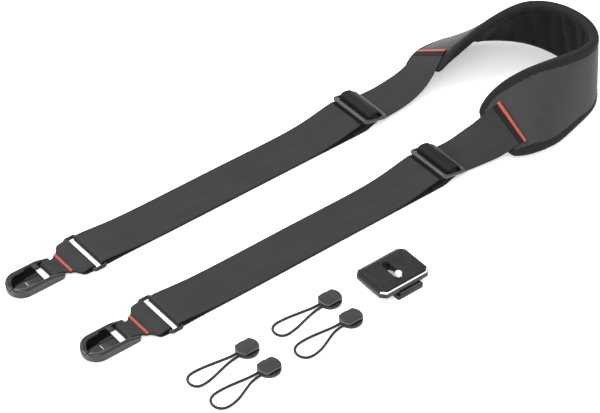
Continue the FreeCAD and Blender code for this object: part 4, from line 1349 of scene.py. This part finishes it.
def plate_outline(inset, trim):
    """The plate's rectangle with cut corners, a way in from its edge."""
    half_x, half_y, corner = PLATE_HALF_X - inset, PLATE_HALF_Y - inset, PLATE_CORNER - trim
    quarter = [(half_x, half_y - corner), (half_x - corner, half_y)]
    points = []
    for sign_x, sign_y in ((1, 1), (-1, 1), (-1, -1), (1, -1)):
        pair = [(x * sign_x, y * sign_y) for x, y in quarter]
        points += pair if sign_x * sign_y > 0 else pair[::-1]
    return points


def plate_centre():
    return (middle("plate_body") - SLIT) / MM


def slot_outline(half_wide, half_long):
    return rounded(half_wide, half_long, half_wide - 0.02, 12)


def make_plate_body(centre):
    """Slab with bright metal on the near-side bevels as a painted highlight, and a recess for the grip
    pad.
    """
    levels = (
        (4.2, PLATE_LOW),
        (0.5, PLATE_LOW),
        (0.0, PLATE_LOW + 0.5),
        (0.0, PLATE_TOP - 1.6),
        (0.6, PLATE_TOP - 1.0),
        (1.6, PLATE_TOP),
        (2.7, PLATE_TOP),
        (2.9, PLATE_TOP - 0.25),
        (4.2, PLATE_TOP - 0.8),
    )
    rings = []
    for inset, level in levels:
        plan = plate_outline(inset, inset * 0.4)
        rings.append([(centre.x + x, centre.y + y, level) for x, y in plan])
    rim = loft("plate_rim", rings, ANODISED, closed=True, angle=20)
    # The near, upward-sloping bevel faces get bright metal: painted highlight.
    high = [face for face in rim.data.polygons if face.center.z > (PLATE_TOP - 1) * MM]
    near = [face for face in high if face.normal.y < -0.4 and 0.3 < face.normal.z < 0.95]
    paint(rim, BEVEL_HIGHLIGHT, near)
    inner = plate_outline(4, 1.6)
    core = slab("plate_core", [inner, slot_outline(3.5, 12)], PLATE_LOW, PLATE_TOP - 0.7, 0.25, ANODISED,
                centre[:2])
    body = join("camera_plate", [rim, core])
    claim(body, "plate", "plate_metal", "plate_body")


def make_plate():
    centre = plate_centre()
    make_plate_body(centre)
    grip_outline = plate_outline(3.3, 2.4)
    grip = slab("grip_pad", [grip_outline, slot_outline(4.1, 12.6)], PLATE_TOP - 0.7,
                PLATE_TOP + GRIP_RISE, 0.22, GRIP, centre[:2])
    base_centre = (centre.x + 2.5, centre.y)
    foot = rounded(14.5, 23, 0.8, 4)
    pocket = slot_outline(6.8, 15.3)
    lower = slab("dovetail_foot", [foot, pocket], 0, 5.2, 0.45, ANODISED, base_centre)
    waist = rounded(12.1, 22.6, 0.6, 4)
    upper = slab("dovetail_waist", [waist, pocket], 5.0, PLATE_LOW + 0.05, 0.1, ANODISED, base_centre)
    base = join("dovetail_block", [lower, upper])
    pieces = ((grip, "plate_grip_pad", "plate_grip"), (base, "plate_dovetail_base", "plate_metal"))
    for piece, node, slot in pieces:
        claim(piece, "plate", slot, node)
    make_screw()


def screw_rings(centre):
    """Threaded end: rings whose radius follows the helix, with a rounded tip."""
    pitch, radius, depth = 1.27, 3.175, 0.45
    low, high = PLATE_TOP + GRIP_RISE, PLATE_TOP + GRIP_RISE + 4
    around = 40
    rings = []
    count = 44
    for i in range(count + 1):
        level = low + (high - low) * i / count
        tip = smooth_step((high - level) / 0.9)
        ring = []
        for k in range(around):
            turn = 2 * math.pi * k / around
            phase = (level / pitch - k / around) % 1.0
            groove = depth * (0.5 + 0.5 * math.cos(2 * math.pi * phase))
            reach = (radius - groove) * (0.72 + 0.28 * math.sqrt(tip))
            ring.append((centre[0] + reach * math.cos(turn), centre[1] + reach * math.sin(turn), level))
        rings.append(ring)
    return rings


def make_screw():
    centre = (middle("plate_screw") - SLIT) / MM
    tip = loft("screw_thread", screw_rings(centre), STEEL, angle=60)
    neck = slab("screw_neck", [circle(2.5, 32)], 3.6, PLATE_TOP + 0.5, 0.1, STEEL, centre[:2])
    head = slab("screw_head", [circle(6.0, 48)], 4.9, 6.9, 0.4, STEEL, centre[:2])
    halves = []
    for sign in (-1, 1):
        outline = [(x, y) for x, y in circle(5.9, 96) if sign * y > 0.8]
        halves.append(slab("screw_half_%d" % (sign + 1), [outline], 3.5, 5.2, 0.35, STEEL, centre[:2]))
    screw = join("camera_screw", [tip, neck, head] + halves)
    washer = slab("screw_ring", [circle(6.0, 48), circle(2.6, 32)], 7.07, 7.83, 0.15, STEEL, centre[:2])
    pieces = ((screw, "screw", "plate_screw"), (washer, "screw_carriage", "screw_washer"))
    for piece, body, node in pieces:
        claim(piece, body, "screw_steel", node)


# ---- stage


def make_camera():
    """The whole kit from the front left, well above, through a long lens."""
    heading, height = math.radians(38.624), math.radians(40.997)
    distance = 2276.5
    level = math.cos(height)
    forward = Vector((math.sin(heading) * level, math.cos(heading) * level, -math.sin(height)))
    target = Vector(to_frame([(190.8, 39.87, 0)])[0])
    data = bpy.data.cameras.new("camera")
    data.sensor_width = 36
    data.lens = 145.7
    data.clip_end = 20
    camera = bpy.data.objects.new("camera", data)
    camera.location = target - forward * distance * MM
    camera.rotation_euler = forward.to_track_quat("-Z", "Y").to_euler()
    bpy.context.scene.collection.objects.link(camera)
    bpy.context.scene.camera = camera


def area_light(name, place, target, size, energy):
    data = bpy.data.lights.new(name, "AREA")
    data.size = size
    data.energy = energy
    light = bpy.data.objects.new(name, data)
    light.location = place
    light.rotation_euler = (Vector(target) - Vector(place)).to_track_quat("-Z", "Y").to_euler()
    bpy.context.scene.collection.objects.link(light)


def make_stage():
    size = 4.0
    corners = [(-size, -size, 0), (size, -size, 0), (size, size, 0), (-size, size, 0)]
    floor = mesh_piece("floor", corners, [(0, 1, 2, 3)], studio_floor())
    world = bpy.data.worlds.new("studio")
    world.use_nodes = True
    world.node_tree.nodes["Background"].inputs["Color"].default_value = (1, 1, 1, 1)
    world.node_tree.nodes["Background"].inputs["Strength"].default_value = 1.5
    bpy.context.scene.world = world
    bpy.context.scene.view_settings.view_transform = "Standard"
    area_light("key", (-0.5, 0.9, 1.6), (0.05, 0, 0), 1.0, 34)
    area_light("fill", (-0.9, -0.9, 1.1), (0, 0, 0), 1.0, 10)


def build():
    make_camera()
    for name, route in ANCHORS.items():
        make_cord(name, route)
        make_puck(name)
    make_pad()
    for side in SIDES:
        make_slider(side)
        make_slider_webbing(side)
        make_ring(side)
        make_tab(side)
        make_housing(side)
    make_plate()
    make_stage()


build()
